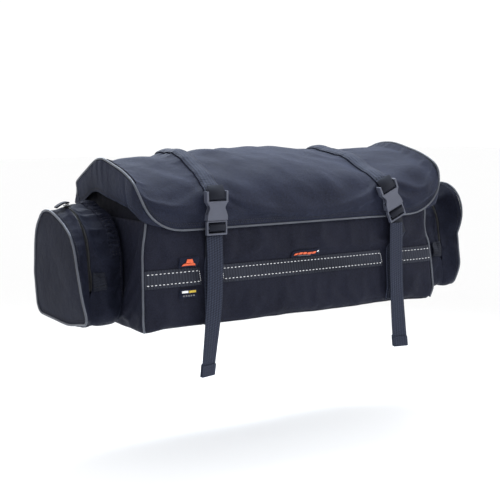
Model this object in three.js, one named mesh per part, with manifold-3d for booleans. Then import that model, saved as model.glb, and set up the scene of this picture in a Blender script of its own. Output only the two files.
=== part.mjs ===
// Motorcycle tail bag: a soft box with a hinged, domed lid, two buckled lid straps and an end
// pocket at each side. Millimetres, +Z up, +X to the bag's right, -Y to its front.
// The origin is the centre of the flat underside.
import * as THREE from 'three';
import { mergeVertices } from 'three/addons/utils/BufferGeometryUtils.js';
import Module from 'manifold-3d';

const wasm = await Module();
wasm.setup();

// Driving dimensions
const gap = 0.3; // between pieces that touch
const body = { length: 506, depth: 224, height: 150, wall: 3, cornerCut: 4 };
const collar = { length: 501, depth: 219, wall: 2.5, top: 196, underLid: 7.5 };
const baseBoard = { inset: 4, thickness: 3.5 };
const hingeTape = { length: 500, bottom: 140, top: 158, thickness: 0.8 };
const piping = { radius: 2.2, sides: 6 };
const webbing = { width: 25, thickness: 1.6, loopThickness: 1.4 };
const band = { bottom: 60.3, height: 25, slant: 4, endX: 249 };
const lid = {
  length: 516, thickness: 3.5, flapBottom: 137, backEdge: 161.5, cornerRadius: 62,
  board: { length: 400, front: -82, back: 78, bottom: 180, thickness: 2.5, clearance: 1 },
  skirt: { thickness: 3, front: -78, back: 106 },
};
const straps = {
  left: { lidX: -148, frontX: -148, tilt: 0, lean: 3 },
  right: { lidX: 145, frontX: 166.5, tilt: 24, lean: -3.5 },
};
const buckle = { back: -121, front: -130, pivotZ: 179, shell: 2.2, slot: { bottom: 173.6, top: 177.4 } };
const male = { back: -122.9, front: -128.1 };
const lowerStrap = { bottom: 2, top: 116 };
const tail = { drop: 51.8, bottomZ: -66, centreY: -121.5, foldHeight: 20 };
const beyond = 400; // past every face, for cutters
const pocket = {
  centreY: 8, wall: 2.5, proud: 72, zipAt: 52, zipGap: 4.2, hingeZ: 55,
  end: { bottomHalf: 86, bottomZ: 8, radius: 70, topZ: 163 },
  root: { bottomHalf: 66, bottomZ: 16, radius: 62, topZ: 160 },
};

// Materials
const material = (colour, roughness, metalness = 0) =>
  new THREE.MeshStandardMaterial({ color: colour, roughness, metalness });
const nylon = material(0x23252e, 0.85);
const darkNylon = material(0x1b1c24, 0.9);
const strapping = material(0x1e2029, 0.8);
const reflective = material(0x8b9099, 0.45);
const plastic = material(0x3a3c42, 0.5);
const boardGrey = material(0x55575c, 0.8);
const labelNavy = material(0x161a30, 0.7);

// Solids
const pointList = (pairs) => pairs.map(([a, b]) => new THREE.Vector2(a, b));

function signedVolume(positions, indices) {
  const [a, b, c] = [new THREE.Vector3(), new THREE.Vector3(), new THREE.Vector3()];
  let sum = 0;
  for (let i = 0; i < indices.length; i += 3) {
    a.fromArray(positions, indices[i] * 3);
    b.fromArray(positions, indices[i + 1] * 3);
    c.fromArray(positions, indices[i + 2] * 3);
    sum += a.dot(b.cross(c));
  }
  return sum;
}

function makeGeometry(positions, indices) {
  if (signedVolume(positions, indices) < 0) indices.reverse();
  const geometry = new THREE.BufferGeometry();
  geometry.setAttribute('position', new THREE.Float32BufferAttribute(positions, 3));
  geometry.setIndex(indices);
  return geometry;
}

// A closed solid through outlines that stand across X: [{ x, outline: [Vector2(y, z), ...] }, ...]
function loftX(sections) {
  const clockwise = THREE.ShapeUtils.isClockWise(sections[0].outline);
  const turn = (outline) => (clockwise ? [...outline].reverse() : outline);
  const rings = sections.map(({ x, outline }) => ({ x, outline: turn(outline) }));
  const positions = rings.flatMap(({ x, outline }) => outline.flatMap((p) => [x, p.x, p.y]));
  const count = rings[0].outline.length;
  const indices = [];
  for (let s = 0; s < rings.length - 1; s++) {
    for (let i = 0; i < count; i++) {
      const [a, b] = [s * count + i, s * count + ((i + 1) % count)];
      indices.push(a, b, b + count, a, b + count, a + count);
    }
  }
  const lastStart = (rings.length - 1) * count;
  for (const [a, b, c] of THREE.ShapeUtils.triangulateShape(rings[0].outline, [])) {
    indices.push(c, b, a);
  }
  for (const [a, b, c] of THREE.ShapeUtils.triangulateShape(rings[rings.length - 1].outline, [])) {
    indices.push(lastStart + a, lastStart + b, lastStart + c);
  }
  return makeGeometry(positions, indices);
}

const prismX = (outline, x0, x1) => loftX([{ x: x0, outline }, { x: x1, outline }]);

function extrude(outline, depth) {
  return new THREE.ExtrudeGeometry(new THREE.Shape(outline), { depth, bevelEnabled: false });
}

// Outline in X and Z, running from y0 to y1
function prismY(outline, y0, y1) {
  const turned = new THREE.Matrix4().makeBasis(
    new THREE.Vector3(1, 0, 0), new THREE.Vector3(0, 0, 1), new THREE.Vector3(0, -1, 0));
  return extrude(outline, y1 - y0).applyMatrix4(turned).translate(0, y1, 0);
}

const prismZ = (outline, z0, z1) => extrude(outline, z1 - z0).translate(0, 0, z0);

function block(x0, x1, y0, y1, z0, z1) {
  return new THREE.BoxGeometry(x1 - x0, y1 - y0, z1 - z0)
    .translate((x0 + x1) / 2, (y0 + y1) / 2, (z0 + z1) / 2);
}

function toSolid(geometry) {
  const bare = geometry.clone();
  bare.deleteAttribute('normal');
  bare.deleteAttribute('uv');
  const merged = mergeVertices(bare, 1e-4);
  return new wasm.Manifold(new wasm.Mesh({
    numProp: 3,
    vertProperties: new Float32Array(merged.attributes.position.array),
    triVerts: new Uint32Array(merged.index.array),
  }));
}

function toGeometry(solid) {
  const mesh = solid.getMesh();
  return makeGeometry([...mesh.vertProperties], [...mesh.triVerts]);
}

const cut = (whole, ...cutters) =>
  toGeometry(cutters.reduce((rest, cutter) => rest.subtract(toSolid(cutter)), toSolid(whole)));
const common = (one, other) => toGeometry(toSolid(one).intersect(toSolid(other)));
const join = (first, ...others) =>
  toGeometry(others.reduce((sum, other) => sum.add(toSolid(other)), toSolid(first)));

function tube(points, radius, steps) {
  const ring = Array.from({ length: piping.sides }, (_, i) => {
    const angle = (i / piping.sides) * 2 * Math.PI;
    return new THREE.Vector2(radius * Math.cos(angle), radius * Math.sin(angle));
  });
  const path = new THREE.CatmullRomCurve3(points, false, 'centripetal');
  return new THREE.ExtrudeGeometry(new THREE.Shape(ring), { steps, extrudePath: path });
}

// The closed outline of a strip of even thickness along a centre line
function stripOutline(centreLine, thickness) {
  const sides = [[], []];
  centreLine.forEach((point, i) => {
    const before = centreLine[Math.max(i - 1, 0)];
    const after = centreLine[Math.min(i + 1, centreLine.length - 1)];
    const along = after.clone().sub(before).normalize();
    const across = new THREE.Vector2(-along.y, along.x).multiplyScalar(thickness / 2);
    sides[0].push(point.clone().add(across));
    sides[1].push(point.clone().sub(across));
  });
  return [...sides[0], ...sides[1].reverse()];
}

function chamferedRectangle(halfX, halfY, chamfer) {
  return pointList([
    [-halfX + chamfer, -halfY], [halfX - chamfer, -halfY], [halfX, -halfY + chamfer],
    [halfX, halfY - chamfer], [halfX - chamfer, halfY], [-halfX + chamfer, halfY],
    [-halfX, halfY - chamfer], [-halfX, -halfY + chamfer],
  ]);
}

// Scene graph
const bag = new THREE.Group();
function add(name, geometry, meshMaterial) {
  const mesh = new THREE.Mesh(geometry, meshMaterial);
  mesh.name = name;
  bag.add(mesh);
}

// Body: open-topped box, collar, base board, corner pipings and hinge tape
const halfLength = body.length / 2;
const halfDepth = body.depth / 2;
const frontY = -halfDepth;

function buildBody() {
  const inner = chamferedRectangle(halfLength - body.wall, halfDepth - body.wall, body.cornerCut);
  add('body_shell', cut(
    prismZ(chamferedRectangle(halfLength, halfDepth, body.cornerCut), 0, body.height),
    prismZ(inner, body.wall, body.height + 1)), nylon);

  const boardX = halfLength - body.wall - baseBoard.inset;
  const boardY = halfDepth - body.wall - baseBoard.inset;
  const boardBottom = body.wall + gap;
  add('base_board', prismZ(chamferedRectangle(boardX, boardY, body.cornerCut),
    boardBottom, boardBottom + baseBoard.thickness), boardGrey);

  const tapeY = halfDepth + gap;
  add('lid_hinge_tape', block(-hingeTape.length / 2, hingeTape.length / 2,
    tapeY, tapeY + hingeTape.thickness, hingeTape.bottom, hingeTape.top), darkNylon);

  const outwards = 0.2;
  for (const [side, sx] of [['left', -1], ['right', 1]]) {
    for (const [face, sy] of [['front', -1], ['back', 1]]) {
      const [x, y] = [sx * (halfLength + outwards), sy * (halfDepth + outwards)];
      const top = face === 'front' ? body.height : hingeTape.bottom - 4;
      add(`piping_${face}_${side}`,
        tube([new THREE.Vector3(x, y, 2), new THREE.Vector3(x, y, top)], piping.radius, 1), reflective);
    }
  }
}

// Lid: its profile runs from the front flap's lower edge over the top to the hinge. Each point has
// its heights at stations along the lid's length, which sags between the ends and the straps.
const lidHalf = lid.length / 2;
const heightStations = [-lidHalf, -150, 0, 135, lidHalf];
const lidProfile = [
  { y: -118, heights: heightStations.map(() => lid.flapBottom) },
  { y: -118, heights: [170, 170, 172, 170, 172] },
  { y: -115, heights: [187, 188, 190, 188, 190] },
  { y: -104, heights: [199, 201, 206, 199, 209] },
  { y: -75, heights: [212, 217, 222, 209, 223] },
  { y: -40, heights: [221, 230, 234, 219, 232] },
  { y: 5, heights: [228, 236, 243, 228, 240] },
  { y: 50, heights: [209, 228, 240, 236, 234] },
  { y: 85, heights: [191, 207, 220, 226, 212] },
  { y: 108, heights: [178, 185, 190, 193, 186] },
  { y: 115.5, heights: heightStations.map(() => lid.backEdge) },
];
const lidSteps = 26;
const strapEdges = (x) => [x - webbing.width / 2, x + webbing.width / 2];
const lidStations = [
  -lidHalf, -210, ...strapEdges(straps.left.lidX), -98, -49, 0, 46, 90,
  ...strapEdges(straps.right.lidX), 190, 225, lidHalf,
];

// Heights between the stations follow a smooth curve through them
function heightAt(x, heights) {
  const curve = new THREE.SplineCurve(pointList(heightStations.map((s, i) => [s, heights[i]])));
  const i = Math.min(Math.max(heightStations.findIndex((s) => s >= x) - 1, 0), heightStations.length - 2);
  const share = (x - heightStations[i]) / (heightStations[i + 1] - heightStations[i]);
  return curve.getPoint((i + THREE.MathUtils.clamp(share, 0, 1)) / (heightStations.length - 1)).y;
}

// The lid's profile at x, moved outwards by offset
function lidLine(x, offset) {
  const curve = new THREE.SplineCurve(pointList(lidProfile.map((p) => [p.y, heightAt(x, p.heights)])));
  return Array.from({ length: lidSteps + 1 }, (_, i) => {
    const t = i / lidSteps;
    const along = curve.getTangent(t);
    return curve.getPoint(t).add(new THREE.Vector2(-along.y, along.x).multiplyScalar(offset));
  });
}

// The space under the lid's profile, as a closed outline whose foot is at footZ
function underLid(x, offset, footZ) {
  const line = lidLine(x, offset);
  const first = line[0];
  const last = line[line.length - 1];
  return [new THREE.Vector2(first.x, footZ), ...line, new THREE.Vector2(last.x, footZ)];
}

// The space under the lid, carried on past its two ends by extra
function lidLoft(offset, footZ, extra = 0) {
  const sections = lidStations.map((x) => ({ x, outline: underLid(x, offset, footZ) }));
  if (extra === 0) return loftX(sections);
  const [first, last] = [sections[0], sections[sections.length - 1]];
  return loftX([{ ...first, x: -lidHalf - extra }, ...sections, { ...last, x: lidHalf + extra }]);
}

function cornerCutter(side) {
  const [centreX, centreZ] = [lidHalf - lid.cornerRadius, lid.flapBottom + lid.cornerRadius];
  const arc = Array.from({ length: 9 }, (_, i) => {
    const angle = -Math.PI / 2 + (i / 8) * (Math.PI / 2);
    return [side * (centreX + lid.cornerRadius * Math.cos(angle)),
      centreZ + lid.cornerRadius * Math.sin(angle)];
  });
  const outline = pointList([...arc, [side * beyond, centreZ], [side * beyond, 0], [side * centreX, 0]]);
  return prismY(outline, -beyond, 0);
}

function buildLid() {
  const past = 10; // a cutter's reach past the lid's ends
  add('lid_cover', cut(lidLoft(0, lid.flapBottom), lidLoft(-lid.thickness, 0, past),
    block(-beyond, beyond, 0, beyond, 0, lid.backEdge), cornerCutter(1), cornerCutter(-1)), nylon);

  const board = lid.board;
  const boardTop = -lid.thickness - board.clearance;
  const boardShell = cut(lidLoft(boardTop, 1), lidLoft(boardTop - board.thickness, 0, past));
  add('lid_board', common(boardShell, block(
    -board.length / 2, board.length / 2, board.front, board.back, board.bottom, beyond)), boardGrey);

  const hangingEdge = [[102, 158], [88, 158], [60, 168], [28, 180], [-20, 174], [lid.skirt.front, 167]];
  for (const [name, side] of [['left', -1], ['right', 1]]) {
    const archTop = lidLine(side * lidHalf, -lid.thickness - 2 * gap)
      .filter((p) => p.x > lid.skirt.front && p.x < lid.skirt.back);
    const [x0, x1] = [side * (lidHalf - gap), side * (lidHalf - gap - lid.skirt.thickness)];
    add(`lid_skirt_${name}`, prismX([...archTop, ...pointList(hangingEdge)],
      Math.min(x0, x1), Math.max(x0, x1)), nylon);
  }

  // Piping round the lid's whole edge, just outside the cover
  const stand = piping.radius + 2 * gap;
  const cornerZ = lid.flapBottom + lid.cornerRadius;
  const radius = lid.cornerRadius + stand;
  const half = (side) => {
    const middle = lidLine(side * lidHalf, -lid.thickness / 2);
    const frontYAt = (z) => {
      const i = Math.max(middle.findIndex((p) => p.y > z), 1);
      const share = (z - middle[i - 1].y) / (middle[i].y - middle[i - 1].y);
      return THREE.MathUtils.lerp(middle[i - 1].x, middle[i].x, Math.max(share, 0));
    };
    const arch = middle.filter((p) => p.y > cornerZ + 2 || p.x > 0).reverse()
      .map((p) => new THREE.Vector3(side * (lidHalf + stand), p.x, p.y));
    const corner = Array.from({ length: 9 }, (_, i) => {
      const angle = -(i / 8) * (Math.PI / 2);
      const z = cornerZ + radius * Math.sin(angle);
      return new THREE.Vector3(side * (lidHalf - lid.cornerRadius + radius * Math.cos(angle)), frontYAt(z), z);
    });
    return [...arch, ...corner];
  };
  const edge = [...half(-1), new THREE.Vector3(0, -116.25, lid.flapBottom - stand), ...half(1).reverse()];
  add('lid_piping', tube(edge, piping.radius, 84), reflective);
}

function buildCollar() {
  const outer = chamferedRectangle(collar.length / 2, collar.depth / 2, body.cornerCut);
  const inner = chamferedRectangle(
    collar.length / 2 - collar.wall, collar.depth / 2 - collar.wall, body.cornerCut);
  const bottom = body.height + gap;
  const ring = cut(prismZ(outer, bottom, collar.top), prismZ(inner, 0, beyond));
  add('collar', common(ring, lidLoft(-collar.underLid, 0, collar.underLid)), darkNylon);
}

// Front trim: reflective band in three lengths, three small labels and the sewn-down straps
function buildFrontTrim() {
  const face = frontY - gap;
  const top = band.bottom + band.height;
  const halfStrap = webbing.width / 2;
  const [leftX, rightX] = [straps.left.frontX, straps.right.frontX];
  const [slant, aside] = [band.slant, halfStrap + 7];
  const lengths = [
    { name: 'band_left', from: -band.endX, to: leftX - aside, fromSlant: 0, toSlant: slant },
    { name: 'band_middle', from: leftX + halfStrap + 1, to: rightX - aside,
      fromSlant: -slant, toSlant: slant },
    { name: 'band_right', from: rightX + aside, to: band.endX, fromSlant: -slant, toSlant: 0 },
  ];
  for (const { name, from, to, fromSlant, toSlant } of lengths) {
    const outline = pointList(
      [[from, band.bottom], [to + toSlant, band.bottom], [to, top], [from - fromSlant, top]]);
    add(name, prismY(outline, face - webbing.thickness, face), strapping);
  }

  const labels = [
    ['label_upper_left', -200, -171, top + gap, 102],
    ['label_lower_left', -198, -172, 44.5, 57],
    ['label_middle', -19.5, 30, top + gap, 97],
  ];
  const labelThickness = 1.2;
  for (const [name, x0, x1, z0, z1] of labels) {
    add(name, block(x0, x1, face - labelThickness, face, z0, z1), labelNavy);
  }

  for (const [side, { frontX }] of Object.entries(straps)) {
    add(`strap_lower_${side}`,
      block(frontX - halfStrap, frontX + halfStrap, face - webbing.thickness, face,
        lowerStrap.bottom, lowerStrap.top), strapping);
  }
}

// Lid strap, sewn over the lid from the hinge side to the front
function buildLidStrap(side, centreX) {
  const stand = webbing.thickness / 2 + 2 * gap;
  const eyeTop = 197;
  const lines = strapEdges(centreX).map((x) => ({ x, line: lidLine(x, stand) }));
  const firstPoint = Math.max(...lines.map(({ line }) => line.findIndex((p) => p.y > eyeTop)));
  add(`strap_upper_${side}`, loftX(lines.map(({ x, line }) => ({
    x, outline: stripOutline(line.slice(firstPoint, -2), webbing.thickness),
  }))), strapping);
}

// Side-release buckle: the lid's half has a bar for the strap, a mouth and two side windows.
// Outlines are in X and Z about the buckle's middle line, half of each being mirrored.
const mirrored = (half) => pointList([...half, ...half.map(([x, z]) => [-x, z]).reverse()]);
const femaleHalf = [
  [15.6, 148], [15.2, 154], [13.8, 159], [11.8, 163.5], [11.8, 166], [14.2, 170], [16.2, 173],
  [16.5, 187], [13.6, 187], [13.6, 180.5],
];
const cavityHalf = [[12.3, 147], [12.3, 162], [9.8, 169]];
const frameHalf = [[14.6, 128], [15.6, 129], [15.6, 146.4], [14.6, 147.4]];
const prongHalf = [
  [7, 147.8], [10, 147.8], [10.2, 156], [11.9, 160.5], [9.6, 167.5], [7.6, 167.5], [7, 156]];
const femaleEye = [[-121.2, 184], [-122.1, 177.4], [-123.3, 175.3], [-125.6, 174.8], [-127.6, 175.4],
  [-128.6, 177.4], [-128, 184.5], [-124.8, 189.6], [-121.6, 194.5]];
const ladderLoop = [[-116.2, 98], [-116.6, 110], [-119.6, 124], [-119.6, 138], [-121, 141.6],
  [-125.5, 142.8], [-129.4, 141.4], [-129.8, 138.3], [-129.4, 135.2], [-125.5, 133.5],
  [-122.4, 132], [-121.5, 128.6]];

function buildBuckle(side, x, tilt) {
  const place = (geometry) => geometry.translate(0, 0, -buckle.pivotZ)
    .rotateY(THREE.MathUtils.degToRad(-tilt)).translate(x, 0, buckle.pivotZ);
  const halfStrap = webbing.width / 2;
  const { slot } = buckle;
  const [slotX, relief] = [halfStrap + 0.9, 3];
  const [insideBack, insideFront] = [buckle.back - buckle.shell, buckle.front + buckle.shell];
  const female = cut(
    prismY(mirrored(femaleHalf), buckle.front, buckle.back),
    prismY(mirrored(cavityHalf), insideFront, insideBack),
    block(-beyond, beyond, insideFront, insideBack, 156, 168),
    block(-slotX, slotX, -beyond, beyond, slot.bottom, slot.top),
    block(-slotX, slotX, buckle.back - relief, beyond, slot.bottom, beyond),
    block(-slotX, slotX, -beyond, buckle.front + relief, slot.bottom, beyond));
  add(`buckle_female_${side}`, place(female), plastic);
  add(`strap_eye_${side}`,
    place(prismX(stripOutline(pointList(femaleEye), webbing.loopThickness), -halfStrap, halfStrap)),
    strapping);

  const windowX = halfStrap + 0.7;
  const window = (z0, z1) => block(-windowX, windowX, -beyond, beyond, z0, z1);
  const frame = cut(prismY(mirrored(frameHalf), male.front, male.back),
    window(130.6, 136.2), window(140.4, 145.2));
  const guide = block(-2.4, 2.4, insideFront + 0.6, insideBack - 0.6, 147, 163);
  add(`buckle_male_${side}`, place(join(frame, guide)), plastic);

  for (const [hand, s] of [['inner', -1], ['outer', 1]]) {
    const outline = pointList(prongHalf.map(([px, pz]) => [s * px, pz]));
    add(`buckle_prong_${side}_${hand}`,
      place(prismY(outline, insideFront + 0.4, insideBack - 0.4)), plastic);
  }

  // Webbing up behind the frame, over the middle bar and back behind the lower bar
  add(`strap_loop_${side}`,
    place(prismX(stripOutline(pointList(ladderLoop), webbing.loopThickness), -halfStrap, halfStrap)),
    strapping);
}

// Free end of the strap, hanging from the buckle, with a folded and sewn end
function buildTail(side, { lidX, tilt, lean }) {
  const half = webbing.width / 2;
  const angle = THREE.MathUtils.degToRad(tilt);
  const x = lidX + tail.drop * Math.sin(angle);
  const topZ = buckle.pivotZ - tail.drop * Math.cos(angle) - (half + 2) * Math.sin(Math.abs(angle));
  const thin = webbing.loopThickness / 2;
  const thick = webbing.loopThickness * 1.25;
  const length = topZ - tail.bottomZ;
  const outline = pointList([
    [-thin, 0], [thin, 0], [thin, -length + tail.foldHeight], [thick, -length + tail.foldHeight],
    [thick, -length], [-thick, -length], [-thick, -length + tail.foldHeight],
    [-thin, -length + tail.foldHeight],
  ]);
  add(`strap_tail_${side}`, prismX(outline, -half, half)
    .rotateY(THREE.MathUtils.degToRad(lean)).translate(x, tail.centreY, topZ), strapping);
}

// End pockets: an arched outline that widens from the bag's end wall to the end panel
function pocketOutline(size, offset) {
  const radius = size.radius + offset;
  const centreZ = size.topZ - size.radius;
  const [cornerY, cornerZ] = [size.bottomHalf + offset, size.bottomZ - offset];
  const reach = Math.hypot(cornerY, cornerZ - centreZ);
  const tangent = Math.atan2(cornerZ - centreZ, cornerY) + Math.acos(radius / reach);
  const legTop = new THREE.Vector2(radius * Math.cos(tangent), centreZ + radius * Math.sin(tangent));
  const corner = new THREE.Vector2(cornerY, cornerZ);
  const rounding = 12;
  const upLeg = corner.clone().lerp(legTop, rounding / corner.distanceTo(legTop));
  const roundCorner = (t) => new THREE.QuadraticBezierCurve(
    new THREE.Vector2(cornerY - rounding, cornerZ), corner, upLeg).getPoint(t);
  const right = [
    ...[0, 0.33, 0.67, 1].map(roundCorner),
    ...[0.4, 0.7].map((t) => corner.clone().lerp(legTop, t)),
  ];
  const archSteps = 16;
  const arch = Array.from({ length: archSteps + 1 }, (_, i) => {
    const angle = tangent + (i / archSteps) * (Math.PI - 2 * tangent);
    return new THREE.Vector2(radius * Math.cos(angle), centreZ + radius * Math.sin(angle));
  });
  const left = right.map((p) => new THREE.Vector2(-p.x, p.y)).reverse();
  return [...right, ...arch, ...left].map((p) => p.add(new THREE.Vector2(pocket.centreY, 0)));
}

const rootX = halfLength + gap + 0.1;
const endX = halfLength + pocket.proud;

// The pocket's outline at distance x from the bag's middle, moved outwards by offset
function pocketRing(x, offset) {
  const share = (x - rootX) / (endX - rootX);
  const near = pocketOutline(pocket.root, offset);
  const far = pocketOutline(pocket.end, offset);
  return near.map((p, i) => p.clone().lerp(far[i], share));
}

function pocketLoft(x0, x1, offset) {
  const stations = [0, 0.35, 0.7, 1].map((t) => THREE.MathUtils.lerp(x0, x1, t));
  return loftX(stations.map((x) => ({ x, outline: pocketRing(x, offset) })));
}

// The front leg's y at height z, at distance x from the bag's middle
function frontLegY(x, z) {
  const leg = pocketRing(x, 0).filter((p) => p.x < pocket.centreY);
  const i = leg.findIndex((p) => p.y < z);
  const share = (z - leg[i].y) / (leg[i - 1].y - leg[i].y);
  return THREE.MathUtils.lerp(leg[i].x, leg[i - 1].x, share);
}

function buildPocket(side, sx) {
  const place = (geometry) => (sx > 0 ? geometry : toGeometry(toSolid(geometry).mirror([1, 0, 0])));
  const part = (name, geometry, meshMaterial) => add(`pocket_${side}_${name}`, place(geometry), meshMaterial);
  const zipX = rootX + pocket.zipAt;
  const [cupEdge, flapEdge] = [zipX - pocket.zipGap / 2, zipX + pocket.zipGap / 2];
  const shell = cut(pocketLoft(rootX, endX, 0),
    pocketLoft(rootX + pocket.wall, endX - pocket.wall, -pocket.wall));
  const seamGap = 1.5;
  const above = (x0, z0) => block(x0, beyond, -beyond, beyond, z0, beyond);
  part('cup', cut(shell, above(cupEdge, pocket.hingeZ - seamGap)), nylon);
  part('flap', common(shell, above(flapEdge, pocket.hingeZ + seamGap)), nylon);

  const strip = (x0, x1, outside, inside, fromZ) => common(
    cut(pocketLoft(x0, x1, outside), pocketLoft(x0 - 1, x1 + 1, inside)), above(0, fromZ));
  const tape = { width: pocket.zipGap / 2 - 1.5 * gap, proud: 0.6 };
  part('zip_inner', strip(cupEdge + gap, cupEdge + gap + tape.width, tape.proud, -pocket.wall,
    pocket.hingeZ), darkNylon);
  part('zip_outer', strip(flapEdge - gap - tape.width, flapEdge - gap, tape.proud, -pocket.wall,
    pocket.hingeZ + seamGap), darkNylon);
  const gather = { from: 1, to: 20, thickness: 2, bottom: 100 };
  part('gather', strip(rootX + gather.from, rootX + gather.to, 0.4 + gather.thickness, 0.4,
    gather.bottom), nylon);

  // Piping round the end panel, split at the flap's fold
  const edge = pocketOutline(pocket.end, -piping.radius / 2).map((p) =>
    new THREE.Vector3(endX + piping.radius + gap + 0.1, p.x, p.y));
  const archEdge = edge.filter((p) => p.z > pocket.hingeZ + 5);
  const lowRight = edge.filter((p) => p.z < pocket.hingeZ - 5 && p.y > pocket.centreY).reverse();
  const lowLeft = edge.filter((p) => p.z < pocket.hingeZ - 5 && p.y < pocket.centreY).reverse();
  const legPoint = (near, far, z) => near.clone().lerp(far, (z - near.z) / (far.z - near.z));
  const [archStart, archEnd] = [archEdge[0], archEdge[archEdge.length - 1]];
  const foldTop = pocket.hingeZ + seamGap + 1;
  const foldBottom = pocket.hingeZ - seamGap - 1;
  part('piping_arch', tube([legPoint(lowRight[0], archStart, foldTop), ...archEdge,
    legPoint(lowLeft[lowLeft.length - 1], archEnd, foldTop)], piping.radius, 30), reflective);
  part('piping_base', tube([legPoint(lowRight[0], archStart, foldBottom), ...lowRight, ...lowLeft,
    legPoint(lowLeft[lowLeft.length - 1], archEnd, foldBottom)], piping.radius, 22), reflective);

  // Zip slider at the top of the arch, its pull tab, and the webbing tab at the zip's front end
  const zipTop = Math.max(...pocketRing(zipX, tape.proud + gap).map((p) => p.y));
  const y0 = pocket.centreY;
  const slider = { halfX: 4.6, halfY: 6, height: 4 };
  const sliderTop = zipTop + slider.height;
  part('slider', block(zipX - slider.halfX, zipX + slider.halfX, y0 - slider.halfY, y0 + slider.halfY,
    zipTop + 0.2, sliderTop), plastic);
  part('pull', block(zipX - 2, zipX + 17, y0 - 5, y0 + 5, sliderTop + 0.8, sliderTop + 2.6), darkNylon);

  const tab = { near: zipX - 20, far: zipX - 3.5, bottom: 57, top: 81, stand: 0.9, thickness: 2 };
  part('tab', loftX([tab.near, tab.far].map((x) => {
    const [low, high] = [frontLegY(x, tab.bottom), frontLegY(x, tab.top)];
    const outer = tab.stand + tab.thickness;
    return { x, outline: pointList([[low - tab.stand, tab.bottom], [high - tab.stand, tab.top],
      [high - outer, tab.top], [low - outer, tab.bottom]]) };
  })), strapping);
}

buildBody();
buildCollar();
buildFrontTrim();
buildLid();
for (const [side, strap] of Object.entries(straps)) {
  buildLidStrap(side, strap.lidX);
  buildBuckle(side, strap.lidX, strap.tilt);
  buildTail(side, strap);
}
buildPocket('left', -1);
buildPocket('right', 1);

export default bag;
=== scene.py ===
import math

import bmesh
import bpy
import numpy as np
from mathutils import Matrix, Vector, noise
from mathutils.bvhtree import BVHTree


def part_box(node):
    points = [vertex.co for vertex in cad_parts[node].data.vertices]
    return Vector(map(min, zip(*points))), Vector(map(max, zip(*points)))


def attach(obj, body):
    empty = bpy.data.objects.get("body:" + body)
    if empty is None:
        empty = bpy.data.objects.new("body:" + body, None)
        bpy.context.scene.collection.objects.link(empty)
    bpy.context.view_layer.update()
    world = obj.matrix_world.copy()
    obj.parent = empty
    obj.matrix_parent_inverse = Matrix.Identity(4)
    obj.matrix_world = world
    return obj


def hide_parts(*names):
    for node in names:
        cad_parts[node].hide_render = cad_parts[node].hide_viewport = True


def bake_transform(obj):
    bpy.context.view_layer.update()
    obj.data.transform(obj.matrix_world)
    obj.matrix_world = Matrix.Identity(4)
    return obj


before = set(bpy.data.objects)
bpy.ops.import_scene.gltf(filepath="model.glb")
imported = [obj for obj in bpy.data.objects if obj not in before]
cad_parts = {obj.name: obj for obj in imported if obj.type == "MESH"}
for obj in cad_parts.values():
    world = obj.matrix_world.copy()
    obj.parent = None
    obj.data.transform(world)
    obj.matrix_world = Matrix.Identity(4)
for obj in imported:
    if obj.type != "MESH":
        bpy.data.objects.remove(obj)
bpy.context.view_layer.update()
print("frame loaded:", len(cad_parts), "nodes")


# small sums used everywhere
def smooth(value, start, end):
    t = min(max((value - start) / (end - start), 0.0), 1.0)
    return t * t * (3 - 2 * t)


def bump(value, centre, width):
    return math.exp(-((value - centre) / width) ** 2)


def mix(a, b, t):
    return a + (b - a) * t


def grain(point, size, seed=0.0):
    # soft noise between about -1 and 1, whose lumps are about size across
    return noise.noise(Vector(point) / size + Vector((seed, 2.3 * seed, -seed)))


def alongLine(points, count):
    # the same line with count + 1 points spread evenly along it
    line = np.array([tuple(p) for p in points], float)
    steps = np.linalg.norm(np.diff(line, axis=0), axis=1)
    at = np.concatenate([[0], np.cumsum(steps)])
    even = np.linspace(0, at[-1], count + 1)
    return np.stack([np.interp(even, at, line[:, k]) for k in range(3)], axis=1)


def curveThrough(points, count):
    # a smooth line through a few chosen points
    p = [Vector(q) for q in points]
    p = [2 * p[0] - p[1], *p, 2 * p[-1] - p[-2]]
    fine = []
    for i in range(1, len(p) - 2):
        for s in range(12):
            t = s / 12
            a, b, c, d = p[i - 1:i + 3]
            fine.append(0.5 * (2 * b + (c - a) * t + (2 * a - 5 * b + 4 * c - d) * t ** 2
                               + (3 * b - a - 3 * c + d) * t ** 3))
    return alongLine([*fine, p[-2]], count)


# camera, floor and light
cameraPlace = {"azimuth": -32, "elevation": 8, "distance": 1.572, "lens": 74.8, "aim": (-0.0165, 0, 0.083)}


def makeCamera():
    a, e = math.radians(cameraPlace["azimuth"]), math.radians(cameraPlace["elevation"])
    back = Vector((math.sin(a) * math.cos(e), -math.cos(a) * math.cos(e), math.sin(e)))
    data = bpy.data.cameras.new("camera")
    data.lens, data.sensor_width = cameraPlace["lens"], 36
    data.clip_start, data.clip_end = 0.05, 50
    camera = bpy.data.objects.new("camera", data)
    camera.location = Vector(cameraPlace["aim"]) + back * cameraPlace["distance"]
    camera.rotation_euler = (-back).to_track_quat("-Z", "Y").to_euler()
    bpy.context.scene.collection.objects.link(camera)
    bpy.context.scene.camera = camera


makeCamera()
print("camera made")


# shaders
class Wire:
    # one output of a shader node; sums on it add Math nodes
    def __init__(self, surface, socket):
        self.surface, self.socket = surface, socket

    def sum(self, operation, *others):
        return self.surface.node("Math", {"operation": operation}, self, *others)

    def __add__(self, other):
        return self.sum("ADD", other)

    def __radd__(self, other):
        return self.sum("ADD", other)

    def __sub__(self, other):
        return self.sum("SUBTRACT", other)

    def __rsub__(self, other):
        return self.surface.node("Math", {"operation": "SUBTRACT"}, other, self)

    def __mul__(self, other):
        return self.sum("MULTIPLY", other)

    def __rmul__(self, other):
        return self.sum("MULTIPLY", other)


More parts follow.
